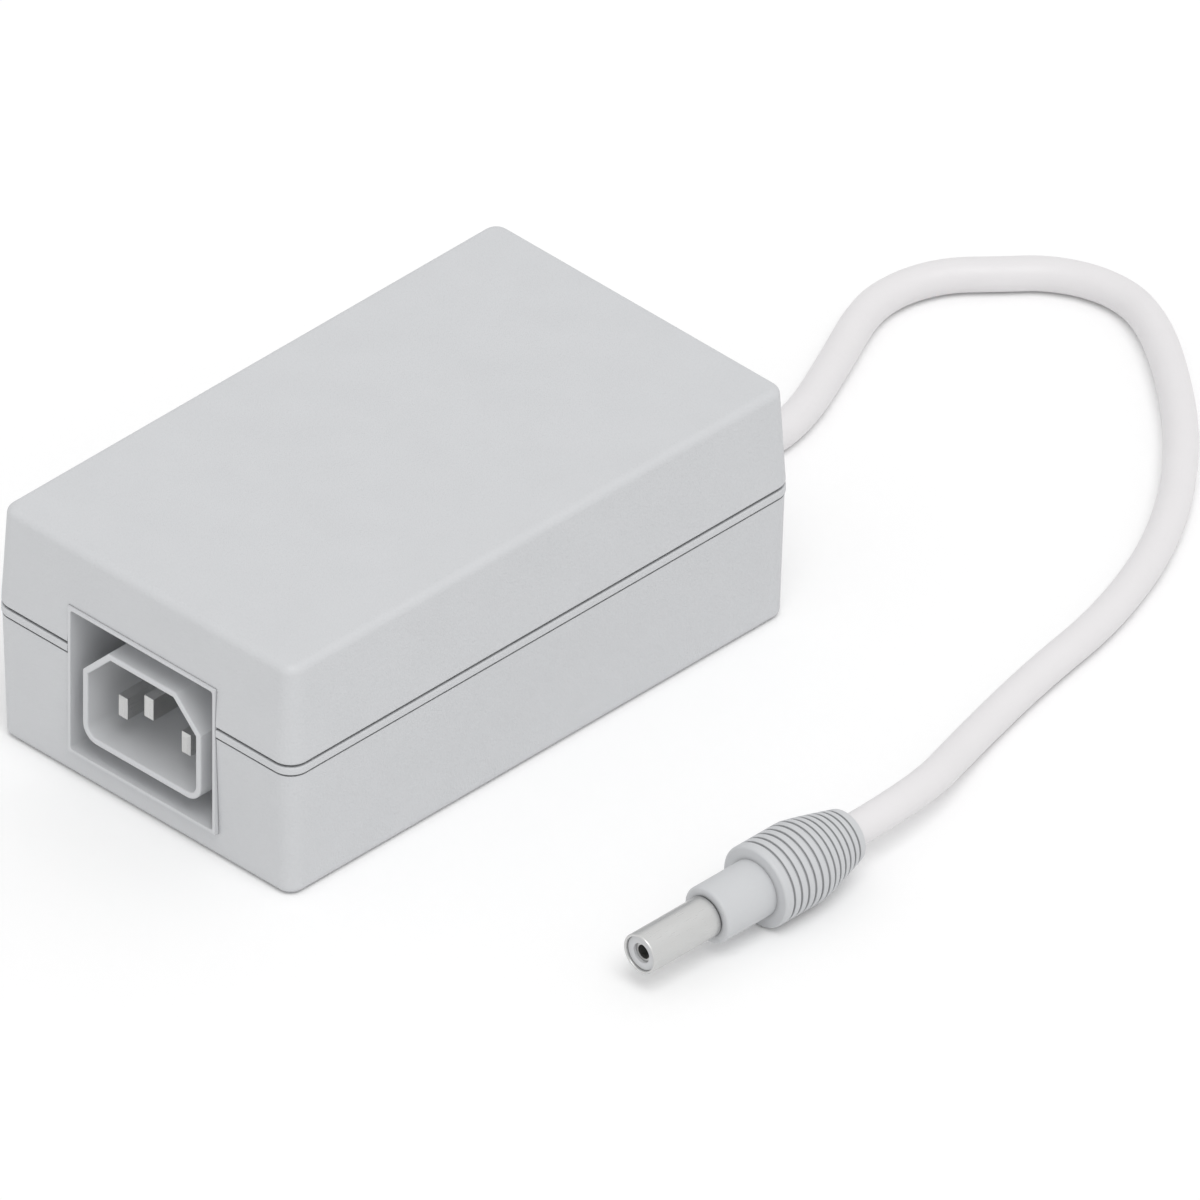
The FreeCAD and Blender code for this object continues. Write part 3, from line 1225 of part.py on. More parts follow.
def tube(label, points, radius):
    """Round tube along a route, with its bend radii and volume printed."""
    path, radii = route_path(points)
    start = FreeCAD.Vector(*points[0])
    ring = Part.makeCircle(radius, start, FreeCAD.Vector(*points[1]) - start)
    solid = path.makePipeShell([Part.Wire([ring])], True, False)
    expected = math.pi * radius * radius * path.Length
    print(f"{label}: length {path.Length:.1f}, volume {solid.Volume / expected:.4f} of section times length")
    print(f"{label}: bend radii " + ", ".join(f"{value:.1f}" for value in radii))
    piece = DOC.addObject("Part::Feature", label)
    piece.Label = label
    piece.Shape = solid
    PIECES.append(piece)
    return piece


def output_lead(label, side):
    """Insulated lead from the strain relief down to its pad on the board."""
    x = plain(S.lead_spread) * side
    start = plain(RELIEF_INNER_Y - S.relief_flange_depth)
    pad_y = plain(BOARD_REAR - S.relief_neck)
    height = plain(S.exit_height)
    points = [(x, start, height), (x, pad_y, height), (x, pad_y, plain(BOARD_TOP))]
    return tube(label, points, plain(S.lead_radius))


def plug_body(label, front):
    """Body on the plug's axis, its own Z running back along the plug."""
    return new_body(label, S.plug_place, front, S.grip_radius, TURN_BACK)


def grip_envelope(place):
    """Radius over the rings of the grip at a distance from its front."""
    if plain(place) <= plain(S.grip_straight):
        return S.grip_radius
    share = (place - S.grip_straight) / S.grip_taper
    return S.grip_radius - (S.grip_radius - S.grip_end) * share * share


def plug_grip():
    """Ringed grip, straight and then tapering to the cord, hollow at the front for the collar's tail."""
    body = plug_body("plug_grip", GRIP_FRONT)
    rings = int(plain(S.grip_ribs))
    whole = S.grip_straight + S.grip_taper
    pitch = whole / rings
    tail = S.collar_tail + S.nest_gap
    corners = [(0.0, S.barrel_root), (tail, S.barrel_root), (tail, 0.0)]
    for ring in range(rings):
        start = pitch * ring
        stop = start + pitch * 0.72
        corners += [(grip_envelope(start), start), (grip_envelope(stop), stop)]
        if ring < rings - 1:
            after = start + pitch
            floor = grip_envelope(after) - S.grip_groove
            corners += [(floor, stop), (floor, after)]
    dome = grip_envelope(whole) - S.grip_groove
    corners += [(dome, whole), (0.0, whole)]
    turned(body, "grip", *corners)
    ease(
        body, "shoulder", S.grip_groove * 1.6,
        lambda edge: lies_at(edge, "Z", 0.0) and lies_at_radius(edge, S.grip_radius),
    )
    return body


def plug_collar():
    """Smooth collar with a socket for the barrel and a tail inside the grip."""
    body = plug_body("plug_collar", COLLAR_FRONT)
    bore = S.barrel_radius - S.barrel_step + S.nest_gap
    length = S.collar_length
    turned(
        body, "collar",
        (0.0, S.barrel_root), (bore, S.barrel_root), (bore, 0.0),
        (S.collar_radius, 0.0), (S.collar_radius, length), (S.collar_tail, length),
        (S.collar_tail, length + S.barrel_root), (0.0, length + S.barrel_root),
    )
    ease(
        body, "front_edge", S.collar_radius * 0.1,
        lambda edge: lies_at(edge, "Z", 0.0) and lies_at_radius(edge, S.collar_radius),
    )
    return body


def plug_barrel():
    """Metal sleeve of the plug, eased at its mouth, with a thinner root in the collar."""
    body = plug_body("plug_barrel", PLUG_TIP)
    inner = S.barrel_radius - S.barrel_wall
    root = S.barrel_radius - S.barrel_step
    shoulder = S.barrel_length - S.barrel_step
    length = S.barrel_length + S.barrel_root
    turned(
        body, "sleeve",
        (inner, 0.0), (S.barrel_radius, 0.0), (S.barrel_radius, shoulder),
        (root, shoulder), (root, length), (inner, length),
    )
    ease(body, "mouth", S.barrel_wall * 0.4, lambda edge: lies_at(edge, "Z", 0.0))
    return body


def plug_insulator():
    """Plastic ring between the sleeve and the centre contact."""
    body = plug_body("plug_insulator", PLUG_TIP + S.tip_recess)
    outer = S.barrel_radius - S.barrel_wall - S.nest_gap
    inner = S.bore_radius + S.contact_wall + S.nest_gap
    length = S.barrel_length + S.barrel_root - S.tip_recess
    turned(body, "ring", (inner, 0.0), (outer, 0.0), (outer, length), (inner, length))
    return body


def plug_contact():
    """Centre contact: a tube that takes the pin of the mating jack, closed at its back."""
    body = plug_body("plug_contact", PLUG_TIP + S.tip_recess * 2)
    outer = S.bore_radius + S.contact_wall
    length = S.barrel_length + S.barrel_root - S.tip_recess * 2
    depth = length - S.barrel_root
    turned(
        body, "tube",
        (S.bore_radius, 0.0), (outer, 0.0), (outer, length),
        (0.0, length), (0.0, depth), (S.bore_radius, depth),
    )
    return body


def check_and_export():
    """Refuses a failed feature or a broken solid, then writes one file for each sub-part."""
    DOC.recompute()
    for item in DOC.Objects:
        if "Invalid" in item.State or "Error" in item.State:
            raise ValueError(f"{item.Name}: {item.State}")
    for piece in PIECES:
        shape = piece.Shape
        if shape.isNull() or not shape.isValid() or not shape.Solids:
            raise ValueError(f"{piece.Label}: no valid solid")
        shape.exportStep(f"parts/{piece.Label}.step")
        print(f"{piece.Label}: {len(shape.Solids)} solids, {shape.Volume:.1f} cubic millimetres")


def build():
    """Builds every sub-part of the power supply."""
    lower_shell()
    upper_shell()
    case_screws()
    inlet_housing()
    inlet_pin("line_pin", S.pin_pitch / 2, LOW_PINS, S.pin_setback, S.pin_leg_gap)
    inlet_pin("neutral_pin", -S.pin_pitch / 2, LOW_PINS, S.pin_setback, S.pin_leg_gap)
    inlet_pin("earth_pin", 0.0, HIGH_PIN, S.earth_setback, S.earth_leg_gap)
    circuit_board()
    board_screws()
    insulation_sheet()
    fuse()
    disc_part("thermistor", THERMISTOR_X, FRONT_ROW)
    disc_part("varistor", VARISTOR_X, FRONT_ROW)
    mains_capacitor()
    choke_base()
    choke_core()
    choke_winding("choke_winding_line", -WINDING_SWEEP / 2)
    choke_winding("choke_winding_neutral", 180.0 - WINDING_SWEEP / 2)
    bridge_rectifier()
    can("bulk_capacitor", BULK_X, BULK_Y, S.bulk_radius, S.bulk_height)
    for label, y, hand, package, screw in (
        ("primary_heatsink", PRIMARY_SINK_Y, RIGHT_HAND, "switching_transistor", "primary_sink_screw"),
        ("secondary_heatsink", SECONDARY_SINK_Y, LEFT_HAND, "output_rectifier", "secondary_sink_screw"),
    ):
        heatsink(label, y, hand)
        power_package(package, y, hand)
        sink_screw(screw, y, hand)
    transformer_core("transformer_core_front", RIGHT_HAND)
    transformer_core("transformer_core_rear", LEFT_HAND)
    transformer_bobbin()
    build_up = transformer_sizes()[2]
    transformer_layer("transformer_winding", 0.0, build_up - S.tape_thickness)
    transformer_layer("transformer_tape", build_up - S.tape_thickness, build_up)
    chip("control_chip", CHIP_X, CORE_Y - S.part_gap, 4)
    chip("optocoupler", CHIP_X, CORE_Y + S.chip_pitch * 3 + S.part_gap, 2)
    can("output_capacitor_1", OUTPUT_X, OUTPUT_Y, S.output_radius, S.output_height)
    can("output_capacitor_2", 0.0, OUTPUT_Y, S.output_radius, S.output_height)
    filter_core()
    filter_winding()
    disc_part("safety_capacitor", SAFETY_X, LAST_ROW + S.disc_thickness)
    resistor("snubber_resistor", RESISTOR_X, LAST_ROW - S.part_gap)
    resistor("bleeder_resistor", RESISTOR_X, CHOKE_REAR + S.part_gap + S.resistor_radius)
    strain_relief()
    output_lead("positive_lead", 1)
    output_lead("negative_lead", -1)
    tube("dc_cord", CORD_ROUTE, plain(S.cord_radius))
    plug_grip()
    plug_collar()
    plug_barrel()
    plug_insulator()
    plug_contact()
    check_and_export()


build()
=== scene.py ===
import json
import logging
import math
from collections.abc import Iterable, Sequence
from dataclasses import dataclass, field
from enum import Enum

import bpy
import numpy as np
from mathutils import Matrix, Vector


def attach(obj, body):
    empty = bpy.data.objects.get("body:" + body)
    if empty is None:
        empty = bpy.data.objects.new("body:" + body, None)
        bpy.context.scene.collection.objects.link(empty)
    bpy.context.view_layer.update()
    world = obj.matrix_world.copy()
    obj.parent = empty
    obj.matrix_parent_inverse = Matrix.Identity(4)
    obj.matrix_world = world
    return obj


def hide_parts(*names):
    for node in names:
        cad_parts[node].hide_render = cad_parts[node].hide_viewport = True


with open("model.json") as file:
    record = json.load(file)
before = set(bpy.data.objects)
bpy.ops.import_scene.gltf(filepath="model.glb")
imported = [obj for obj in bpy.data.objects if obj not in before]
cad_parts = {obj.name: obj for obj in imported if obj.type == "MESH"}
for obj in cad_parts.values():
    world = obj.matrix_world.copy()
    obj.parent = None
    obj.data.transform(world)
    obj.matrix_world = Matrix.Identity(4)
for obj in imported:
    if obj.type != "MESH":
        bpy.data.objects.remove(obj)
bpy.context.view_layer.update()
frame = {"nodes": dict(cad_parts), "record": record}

BODY = "root"
MM = 0.001
LOG = logging.getLogger("power_supply")

Colour = tuple[float, float, float]
Place = tuple[float, float, float]
Socket = bpy.types.NodeSocket

# Most of a noise pattern lies between these two values.
NOISE_LOW, NOISE_HIGH = 0.3, 0.7
# Openness at which a face counts as shut in, and at which it counts as free, for the painted crease shade.
SHUT_IN, FREE = 0.25, 0.85
# Length of one wave of the wave texture at scale 1.
WAVE_PERIOD = 0.314
# Numbers of a mix node's two colour inputs and of its colour output.
FIRST_COLOUR, SECOND_COLOUR, MIXED_COLOUR = 6, 7, 2
# Points round a plain turned piece.
TURN_STEPS = 128
# An edge that turns by more than this is kept sharp.
SHARP_TURN = math.radians(50.0)


class Axis(Enum):
    """Direction that a pattern runs along."""

    X = (1.0, 0.0, 0.0)
    Y = (0.0, 1.0, 0.0)
    Z = (0.0, 0.0, 1.0)

    def stretch(self, factor: float) -> Place:
        """Factor on this axis and 1 on the others; a small one draws a pattern out along the axis."""
        x, y, z = (factor if share else 1.0 for share in self.value)
        return x, y, z


class Shader:
    """Node tree of one material while it is put together."""

    def __init__(self, name: str, colour: Colour, roughness: float) -> None:
        """Starts a material whose plain values sit on the shader itself.

        Args:
            name: Name of the material.
            colour: Colour before any variation.
            roughness: Roughness before any variation.
        """
        self.material = bpy.data.materials.new(name)
        self.material.use_nodes = True
        self.tree = self.material.node_tree
        self.surface = self.tree.nodes["Principled BSDF"]
        self.set("Base Color", (*colour, 1.0))
        self.set("Roughness", roughness)

    def set(self, name: str, value: float | Sequence[float] | Socket) -> None:
        """Gives the surface's input of that name a plain value or a link."""
        self.feed(self.surface.inputs[name], value)

    def feed(self, target: Socket, value: float | Sequence[float] | Socket) -> None:
        """Puts a plain value or a link on a socket.

        Args:
            target: Socket that takes the value.
            value: Number, colour, or the output that feeds it.
        """
        if isinstance(value, bpy.types.NodeSocket):
            self.tree.links.new(value, target)
        else:
            target.default_value = value

    def node(self, kind: str, inputs: dict[str | int, object], **settings: object) -> bpy.types.Node:
        """Adds a node.

        Args:
            kind: Type of the node.
            inputs: Values or links, by the name or number of the input.
            **settings: Properties of the node.

        Returns:
            The new node.
        """
        made = self.tree.nodes.new(kind)
        for key, value in settings.items():
            setattr(made, key, value)
        for key, value in inputs.items():
            self.feed(made.inputs[key], value)
        return made

    def places(self, stretch: Place = (1.0, 1.0, 1.0)) -> Socket:
        """Object coordinates, each axis times its own factor."""
        source = self.node("ShaderNodeTexCoord", {}).outputs["Object"]
        return self.node("ShaderNodeMapping", {"Vector": source, "Scale": stretch}).outputs["Vector"]

    def noise(self, size: float, detail: float = 2.0, stretch: Place = (1.0, 1.0, 1.0)) -> Socket:
        """Soft random pattern around 0.5, with patches of a size in metres and layers of finer detail."""
        inputs = {"Vector": self.places(stretch), "Scale": 1.0 / size, "Detail": detail, "Roughness": 0.55}
        return self.node("ShaderNodeTexNoise", inputs).outputs["Fac"]

    def cells(self, size: float) -> Socket:
        """Small round pits or grains of a width in metres: distance to the nearest cell's middle."""
        inputs = {"Vector": self.places(), "Scale": 1.0 / size}
        return self.node("ShaderNodeTexVoronoi", inputs, feature="SMOOTH_F1").outputs["Distance"]

    def waves(self, length: float, along: Axis, distortion: float, detail: float = 2.0) -> Socket:
        """Even waves one behind the other.

        Args:
            length: Length of one wave in metres.
            along: Axis that the waves follow each other on.
            distortion: How far the waves wander.
            detail: Number of finer layers in that wandering.

        Returns:
            Output from 0 in a trough to 1 on a crest.
        """
        scale = WAVE_PERIOD / length
        inputs = {"Vector": self.places(), "Scale": scale, "Distortion": distortion, "Detail": detail}
        return self.node("ShaderNodeTexWave", inputs, bands_direction=along.name).outputs["Fac"]

    def remap(self, source: Socket, low: float, high: float, start: float = 0.0, stop: float = 1.0) -> Socket:
        """Straight-line change of range from start..stop to low..high, held at its ends."""
        inputs = {"Value": source, "From Min": start, "From Max": stop, "To Min": low, "To Max": high}
        return self.node("ShaderNodeMapRange", inputs).outputs["Result"]

    def maths(self, operation: str, *values: float | Socket) -> Socket:
        """Result of one step of arithmetic on numbers or outputs."""
        return self.node("ShaderNodeMath", dict(enumerate(values)), operation=operation).outputs[0]

    def blend(self, share: Socket, first: Colour, second: Colour) -> Socket:
        """Colour that goes from the first at share 0 to the second at share 1."""
        inputs = {"Factor": share, FIRST_COLOUR: (*first, 1.0), SECOND_COLOUR: (*second, 1.0)}
        return self.node("ShaderNodeMix", inputs, data_type="RGBA").outputs[MIXED_COLOUR]

    def darken(self, colour: Socket, share: Socket) -> Socket:
        """Multiplies a colour by a grey that varies over the surface.

        Args:
            colour: Colour output.
            share: Grey from 0 to 1.

        Returns:
            Colour output.
        """
        inputs = {"Factor": 1.0, FIRST_COLOUR: colour, SECOND_COLOUR: share}
        mixer = self.node("ShaderNodeMix", inputs, data_type="RGBA", blend_type="MULTIPLY")
        return mixer.outputs[MIXED_COLOUR]

    def painted_crease_shade(self, reach: float, depth: float) -> Socket:
        """Painted shade: grey, 1 on free faces, that falls by the depth where others stand within reach
        (metres).
        """
        felt = self.node("ShaderNodeAmbientOcclusion", {"Distance": reach}, samples=6)
        return self.remap(felt.outputs["AO"], 1.0 - depth, 1.0, SHUT_IN, FREE)

    def relief(self, *layers: tuple[Socket, float], soften: float = 0.0) -> None:
        """Bumps in the surface, one layer over another.

        Args:
            *layers: Pairs of a height pattern and its depth in metres.
            soften: Radius to which sharp edges look rounded, in metres.
        """
        normal = None
        if soften:
            normal = self.node("ShaderNodeBevel", {"Radius": soften}, samples=4).outputs["Normal"]
        for height, depth in layers:
            inputs = {"Height": height, "Distance": depth, "Strength": 1.0}
            if normal:
                inputs["Normal"] = normal
            normal = self.node("ShaderNodeBump", inputs).outputs["Normal"]
        self.set("Normal", normal)


def shade(colour: Colour, factor: float) -> Colour:
    """Colour made lighter or darker: each channel times the factor, at most 1."""
    red, green, blue = (min(1.0, channel * factor) for channel in colour)
    return red, green, blue


@dataclass(frozen=True)
class Finish:
    """What one material of the product looks like; each kind adds its own detail."""

    name: str
    colour: Colour
    roughness: float = 0.5
    wander: float = 0.03
    patch: float = 9.0 * MM
    # Depth and reach of the painted shade that darkens creases and recesses.
    crease_shade: float = 0.4
    crease_shade_reach: float = 1.0 * MM
    sheen_patch: float = 3.0 * MM
    sheen_wander: float = 0.2

    def build(self) -> bpy.types.Material:
        """Makes the material.

        Returns:
            The finished material.
        """
        shader = Shader(self.name, self.colour, self.roughness)
        self.dress(shader)
        return shader.material

    def dress(self, shader: Shader) -> None:
        """Colour that wanders from patch to patch, with painted shade that darkens it in creases and
        recesses.

        Args:
            shader: Material in the making.
        """
        darkest, palest = shade(self.colour, 1.0 - self.wander), shade(self.colour, 1.0 + self.wander)
        colour = shader.blend(shader.noise(self.patch, 4.0), darkest, palest)
        # Painted shade: ambient occlusion darkens the colour where other faces stand close, in creases, seams
        # and recesses.
        if self.crease_shade:
            colour = shader.darken(colour, shader.painted_crease_shade(self.crease_shade_reach, self.crease_shade))
        shader.set("Base Color", colour)

    def vary_sheen(self, shader: Shader) -> None:
        """Lets the roughness wander over the surface.

        Args:
            shader: Material in the making.
        """
        low, high = self.roughness * (1.0 - self.sheen_wander), self.roughness * (1.0 + self.sheen_wander)
        pattern = shader.noise(self.sheen_patch, 3.0)
        shader.set("Roughness", shader.remap(pattern, low, high, NOISE_LOW, NOISE_HIGH))


@dataclass(frozen=True)
class MouldedPlastic(Finish):
    """Moulded plastic with the fine grain of an eroded mould, and painted shade in its creases."""

    crease_shade: float = 0.3
    crease_shade_reach: float = 1.1 * MM
    sheen_wander: float = 0.12
    grain: float = 0.42 * MM
    grain_depth: float = 0.012 * MM
    coarse_size: float = 2.6
    coarse_depth: float = 1.5
    soften: float = 0.12 * MM

    def dress(self, shader: Shader) -> None:
        """Uneven sheen over two sizes of grain, the coarse one given in times of the fine one.

        Args:
            shader: Material in the making.
        """
        super().dress(shader)
        self.vary_sheen(shader)
        shader.relief(
            (shader.cells(self.grain), self.grain_depth),
            (shader.noise(self.grain * self.coarse_size, 3.0), self.grain_depth * self.coarse_depth),
            soften=self.soften,
        )


@dataclass(frozen=True)
class SoftJacket(Finish):
    """Extruded soft plastic: soft waves in the surface and a satin sheen."""

    crease_shade: float = 0.3
    crease_shade_reach: float = 0.9 * MM
    sheen_wander: float = 0.18
    bloom: float = 0.9 * MM
    bloom_depth: float = 0.012 * MM
    swell: float = 5.0 * MM
    swell_depth: float = 0.05 * MM

    def dress(self, shader: Shader) -> None:
        """Uneven sheen, a fine bloom and long soft swells.

        Args:
            shader: Material in the making.
        """
        super().dress(shader)
        self.vary_sheen(shader)
        shader.set("Sheen Weight", 0.06)
        shader.relief(
            (shader.noise(self.bloom, 3.0), self.bloom_depth), (shader.noise(self.swell), self.swell_depth),
        )


@dataclass(frozen=True)
class LinedMetal(Finish):
    """Metal whose sheen is broken by fine lines along one axis."""

    crease_shade: float = 0.35
    along: Axis = Axis.Y
    line: float = 0.10 * MM
    line_detail: float = 3.0
    line_depth: float = 0.004 * MM
    drawn: float = 0.03
    smoothest: float = 0.75
    roughest: float = 1.35
    soften: float = 0.0

    def dress(self, shader: Shader) -> None:
        """Metallic surface with the lines in its sheen and its height.

        Args:
            shader: Material in the making.
        """
        super().dress(shader)
        lines = shader.noise(self.line, self.line_detail, self.along.stretch(self.drawn))
        low, high = self.roughness * self.smoothest, self.roughness * self.roughest
        shader.set("Metallic", 1.0)
        shader.set("Roughness", shader.remap(lines, low, high, NOISE_LOW, NOISE_HIGH))
        shader.relief((lines, self.line_depth), soften=self.soften)


@dataclass(frozen=True)
class PlatedMetal(LinedMetal):
    """Plated metal with fine scratches, darkened by painted shade in its creases."""

    crease_shade_reach: float = 0.8 * MM
    soften: float = 0.08 * MM


@dataclass(frozen=True)
class ExtrudedMetal(LinedMetal):
    """Bare extruded metal with die lines along its length."""

    crease_shade_reach: float = 1.2 * MM
    along: Axis = Axis.Z
    line: float = 0.16 * MM
    line_detail: float = 4.0
    line_depth: float = 0.01 * MM
    drawn: float = 0.02
    smoothest: float = 0.7
    roughest: float = 1.3


@dataclass(frozen=True)
class BoardLaminate(Finish):
    """Lacquered glass laminate: weave under the lacquer, paler tracks that show through."""

    pitch: float = 0.8 * MM
    weave_depth: float = 0.012 * MM
    block: float = 9.0 * MM
    track: Colour = (0.06, 0.26, 0.11)
    track_starts: float = 0.05
    track_full: float = 0.07
    track_depth: float = 0.03 * MM

    def dress(self, shader: Shader) -> None:
        """Two crossed waves for the weave, and blocky cells whose edges part the tracks.

        Args:
            shader: Material in the making.
        """
        inputs = {"Vector": shader.places(), "Scale": 1.0 / self.block, "Randomness": 0.35}
        blocks = shader.node("ShaderNodeTexVoronoi", inputs, feature="DISTANCE_TO_EDGE").outputs["Distance"]
        copper = shader.remap(blocks, 0.0, 1.0, self.track_starts, self.track_full)
        shader.set("Base Color", shader.blend(copper, self.colour, self.track))
        weave = shader.maths("MULTIPLY", *(shader.waves(self.pitch, axis, 0.4) for axis in (Axis.X, Axis.Y)))
        shader.set("Coat Weight", 0.5)
        shader.set("Coat Roughness", 0.15)
        shader.relief((weave, self.weave_depth), (copper, self.track_depth))


@dataclass(frozen=True)
class WoundWire(Finish):
    """Turns of enamelled wire, one beside the other along an axis."""

    sheen_patch: float = 1.5 * MM
    sheen_wander: float = 0.25
    along: Axis = Axis.Y
    wire: float = 0.5 * MM
    wire_height: float = 0.12 * MM
    # Colour factors of the painted shade between turns and of the painted highlight on their tops.
    between: float = 0.45
    painted_highlight_on_top: float = 1.1

    def dress(self, shader: Shader) -> None:
        """Even waves for the wires, with painted shade between them and a painted highlight on top.

        Args:
            shader: Material in the making.
        """
        turns = shader.waves(self.wire, self.along, 0.3, 1.0)
        # Painted shade between the turns and a painted highlight on their tops.
        low, high = shade(self.colour, self.between), shade(self.colour, self.painted_highlight_on_top)
        shader.set("Base Color", shader.blend(turns, low, high))
        shader.set("Metallic", 0.75)
        shader.set("Coat Weight", 0.6)
        shader.set("Coat Roughness", 0.2)
        self.vary_sheen(shader)
        shader.relief((turns, self.wire_height))


@dataclass(frozen=True)
class DippedLacquer(Finish):
    """Thick glossy lacquer that has run a little before it set."""

    sheen_patch: float = 2.0 * MM
    run: float = 1.3 * MM
    run_depth: float = 0.08 * MM
    speck: float = 0.25 * MM
    speck_depth: float = 0.006 * MM

    def dress(self, shader: Shader) -> None:
        """Clear gloss over a soft orange-peel surface with fine specks.

        Args:
            shader: Material in the making.
        """
        super().dress(shader)
        self.vary_sheen(shader)
        shader.set("Coat Weight", 0.7)
        shader.set("Coat Roughness", 0.08)
        shader.relief((shader.noise(self.run), self.run_depth), (shader.noise(self.speck), self.speck_depth))


@dataclass(frozen=True)
class ShrunkSleeve(Finish):
    """Thin sleeve shrunk on a can: upright folds, and patches where it has been rubbed."""

    sheen_wander: float = 0.3
    rubbed: Colour = (0.10, 0.105, 0.12)
    rub: float = 4.0 * MM
    rub_starts: float = 0.55
    rub_full: float = 0.85
    fold: float = 0.7 * MM
    fold_depth: float = 0.02 * MM
    drawn: float = 0.06

    def dress(self, shader: Shader) -> None:
        """Fine upright folds in a glossy film, paler where it has been rubbed.

        Args:
            shader: Material in the making.
        """
        patches = shader.remap(shader.noise(self.rub, 4.0), 0.0, 1.0, self.rub_starts, self.rub_full)
        shader.set("Base Color", shader.blend(patches, self.colour, self.rubbed))
        self.vary_sheen(shader)
        shader.set("Coat Weight", 0.4)
        shader.relief((shader.noise(self.fold, 2.0, Axis.Z.stretch(self.drawn)), self.fold_depth))


@dataclass(frozen=True)
class Sintered(Finish):
    """Sintered ceramic: dull and finely pitted."""

    sheen_patch: float = 0.8 * MM
    pit: float = 0.3 * MM
    lump: float = 1.2 * MM
    depth: float = 0.02 * MM

    def dress(self, shader: Shader) -> None:
        """Fine pits over larger lumps.

        Args:
            shader: Material in the making.
        """
        super().dress(shader)
        self.vary_sheen(shader)
        shader.relief((shader.cells(self.pit), self.depth), (shader.noise(self.lump, 4.0), self.depth))


@dataclass(frozen=True)
class ThinFilm(Finish):
    """Clean film or tape with a few long wrinkles."""

    crease_shade: float = 0.0
    sheen_patch: float = 4.0 * MM
    sheen_wander: float = 0.3
    wrinkle: float = 1.6 * MM
    wrinkle_depth: float = 0.03 * MM
    along: Axis = Axis.Y
    drawn: float = 0.15

    def dress(self, shader: Shader) -> None:
        """Glossy surface with wrinkles drawn out along one axis.

        Args:
            shader: Material in the making.
        """
        super().dress(shader)
        self.vary_sheen(shader)
        shader.set("Coat Weight", 0.3)
        shader.relief((shader.noise(self.wrinkle, 2.0, self.along.stretch(self.drawn)), self.wrinkle_depth))


FINISHES: dict[str, Finish] = {
    finish.name: finish for finish in (
        # Case: stronger painted shade, which darkens its creases and the lines of the joint.
        MouldedPlastic(
            "case_plastic", (0.628, 0.637, 0.652), 0.55, grain=0.36 * MM, grain_depth=0.046 * MM, crease_shade=0.42,
            crease_shade_reach=1.3 * MM,
        ),
        # Inlet moulding: a grey a little paler than the case's, painted light that lifts the shade in the
        # inlet's recess; little painted crease shade.
        MouldedPlastic("inlet_plastic", (0.65, 0.659, 0.673), 0.46, grain_depth=0.006 * MM, crease_shade=0.06),
        MouldedPlastic(
            "plug_plastic", (0.605, 0.614, 0.628), 0.5, grain=0.3 * MM, grain_depth=0.018 * MM, crease_shade=0.45,
        ),
        SoftJacket("cord_jacket", (0.80, 0.784, 0.792), 0.46, wander=0.02),
        PlatedMetal("plated_metal", (0.602, 0.603, 0.598), 0.34),
        PlatedMetal("screw_steel", (0.55, 0.56, 0.58), 0.34, along=Axis.X),
        BoardLaminate("board_laminate", (0.03, 0.16, 0.07), 0.35),
        ThinFilm("sheet_film", (0.75, 0.74, 0.68), 0.28),
        Sintered("ferrite", (0.06, 0.06, 0.065), 0.62, wander=0.15),
        WoundWire("copper_wire", (0.72, 0.30, 0.12), 0.3),
        ThinFilm("tape_yellow", (0.80, 0.60, 0.05), 0.3, wander=0.06),
        MouldedPlastic("moulding_black", (0.02, 0.02, 0.022), 0.5, wander=0.15),
        ShrunkSleeve("sleeve_dark", (0.02, 0.025, 0.04), 0.28),
        MouldedPlastic("box_yellow", (0.70, 0.50, 0.06), 0.4, grain_depth=0.006 * MM),
        DippedLacquer("lacquer_green", (0.05, 0.18, 0.12), 0.35, wander=0.12),
        DippedLacquer("lacquer_blue", (0.04, 0.12, 0.42), 0.35, wander=0.12),
        ExtrudedMetal("sink_metal", (0.77, 0.78, 0.78), 0.36),
        MouldedPlastic("package_body", (0.025, 0.025, 0.027), 0.45, wander=0.15),
        DippedLacquer("resistor_body", (0.50, 0.62, 0.66), 0.4, wander=0.05),
        SoftJacket("lead_red", (0.55, 0.03, 0.03), 0.4),
        SoftJacket("lead_black", (0.02, 0.02, 0.02), 0.4),
        MouldedPlastic("insulator_grey", (0.64, 0.648, 0.66), 0.42, crease_shade=0.1),
    )
}

# Nodes whose pattern runs another way than their slot's finish.
SPECIAL_NODES: dict[str, Finish] = {
    "filter_winding": WoundWire("copper_wire_upright", (0.72, 0.30, 0.12), 0.3, along=Axis.Z),
}


class Wardrobe:
    """Makes each finish once and puts it on nodes and pieces."""

    def __init__(self) -> None:
        """Starts with no material made."""
        self.made: dict[str, bpy.types.Material] = {}

    def material(self, finish: Finish) -> bpy.types.Material:
        """Material of a finish, made when it is first asked for.

        Args:
            finish: Finish that is wanted.

        Returns:
            Its material.
        """
        if finish.name not in self.made:
            self.made[finish.name] = finish.build()
        return self.made[finish.name]

    def dress(self, thing: bpy.types.Object, finish: Finish) -> None:
        """Puts a finish on every material slot of an object.

        Args:
            thing: Node or piece.
            finish: Finish that it gets.
        """
        material = self.material(finish)
        if not thing.material_slots:
            thing.data.materials.append(material)
        for slot in thing.material_slots:
            slot.link = "OBJECT"
            slot.material = material

    def dress_nodes(self) -> None:
        """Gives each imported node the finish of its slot, or its own special one."""
        for part in frame["record"]["subparts"]:
            node = part["node"]
            finish = SPECIAL_NODES.get(node, FINISHES[part["material_slot"]])
            self.dress(frame["nodes"][node], finish)
            LOG.info("node %s: %s", node, finish.name)


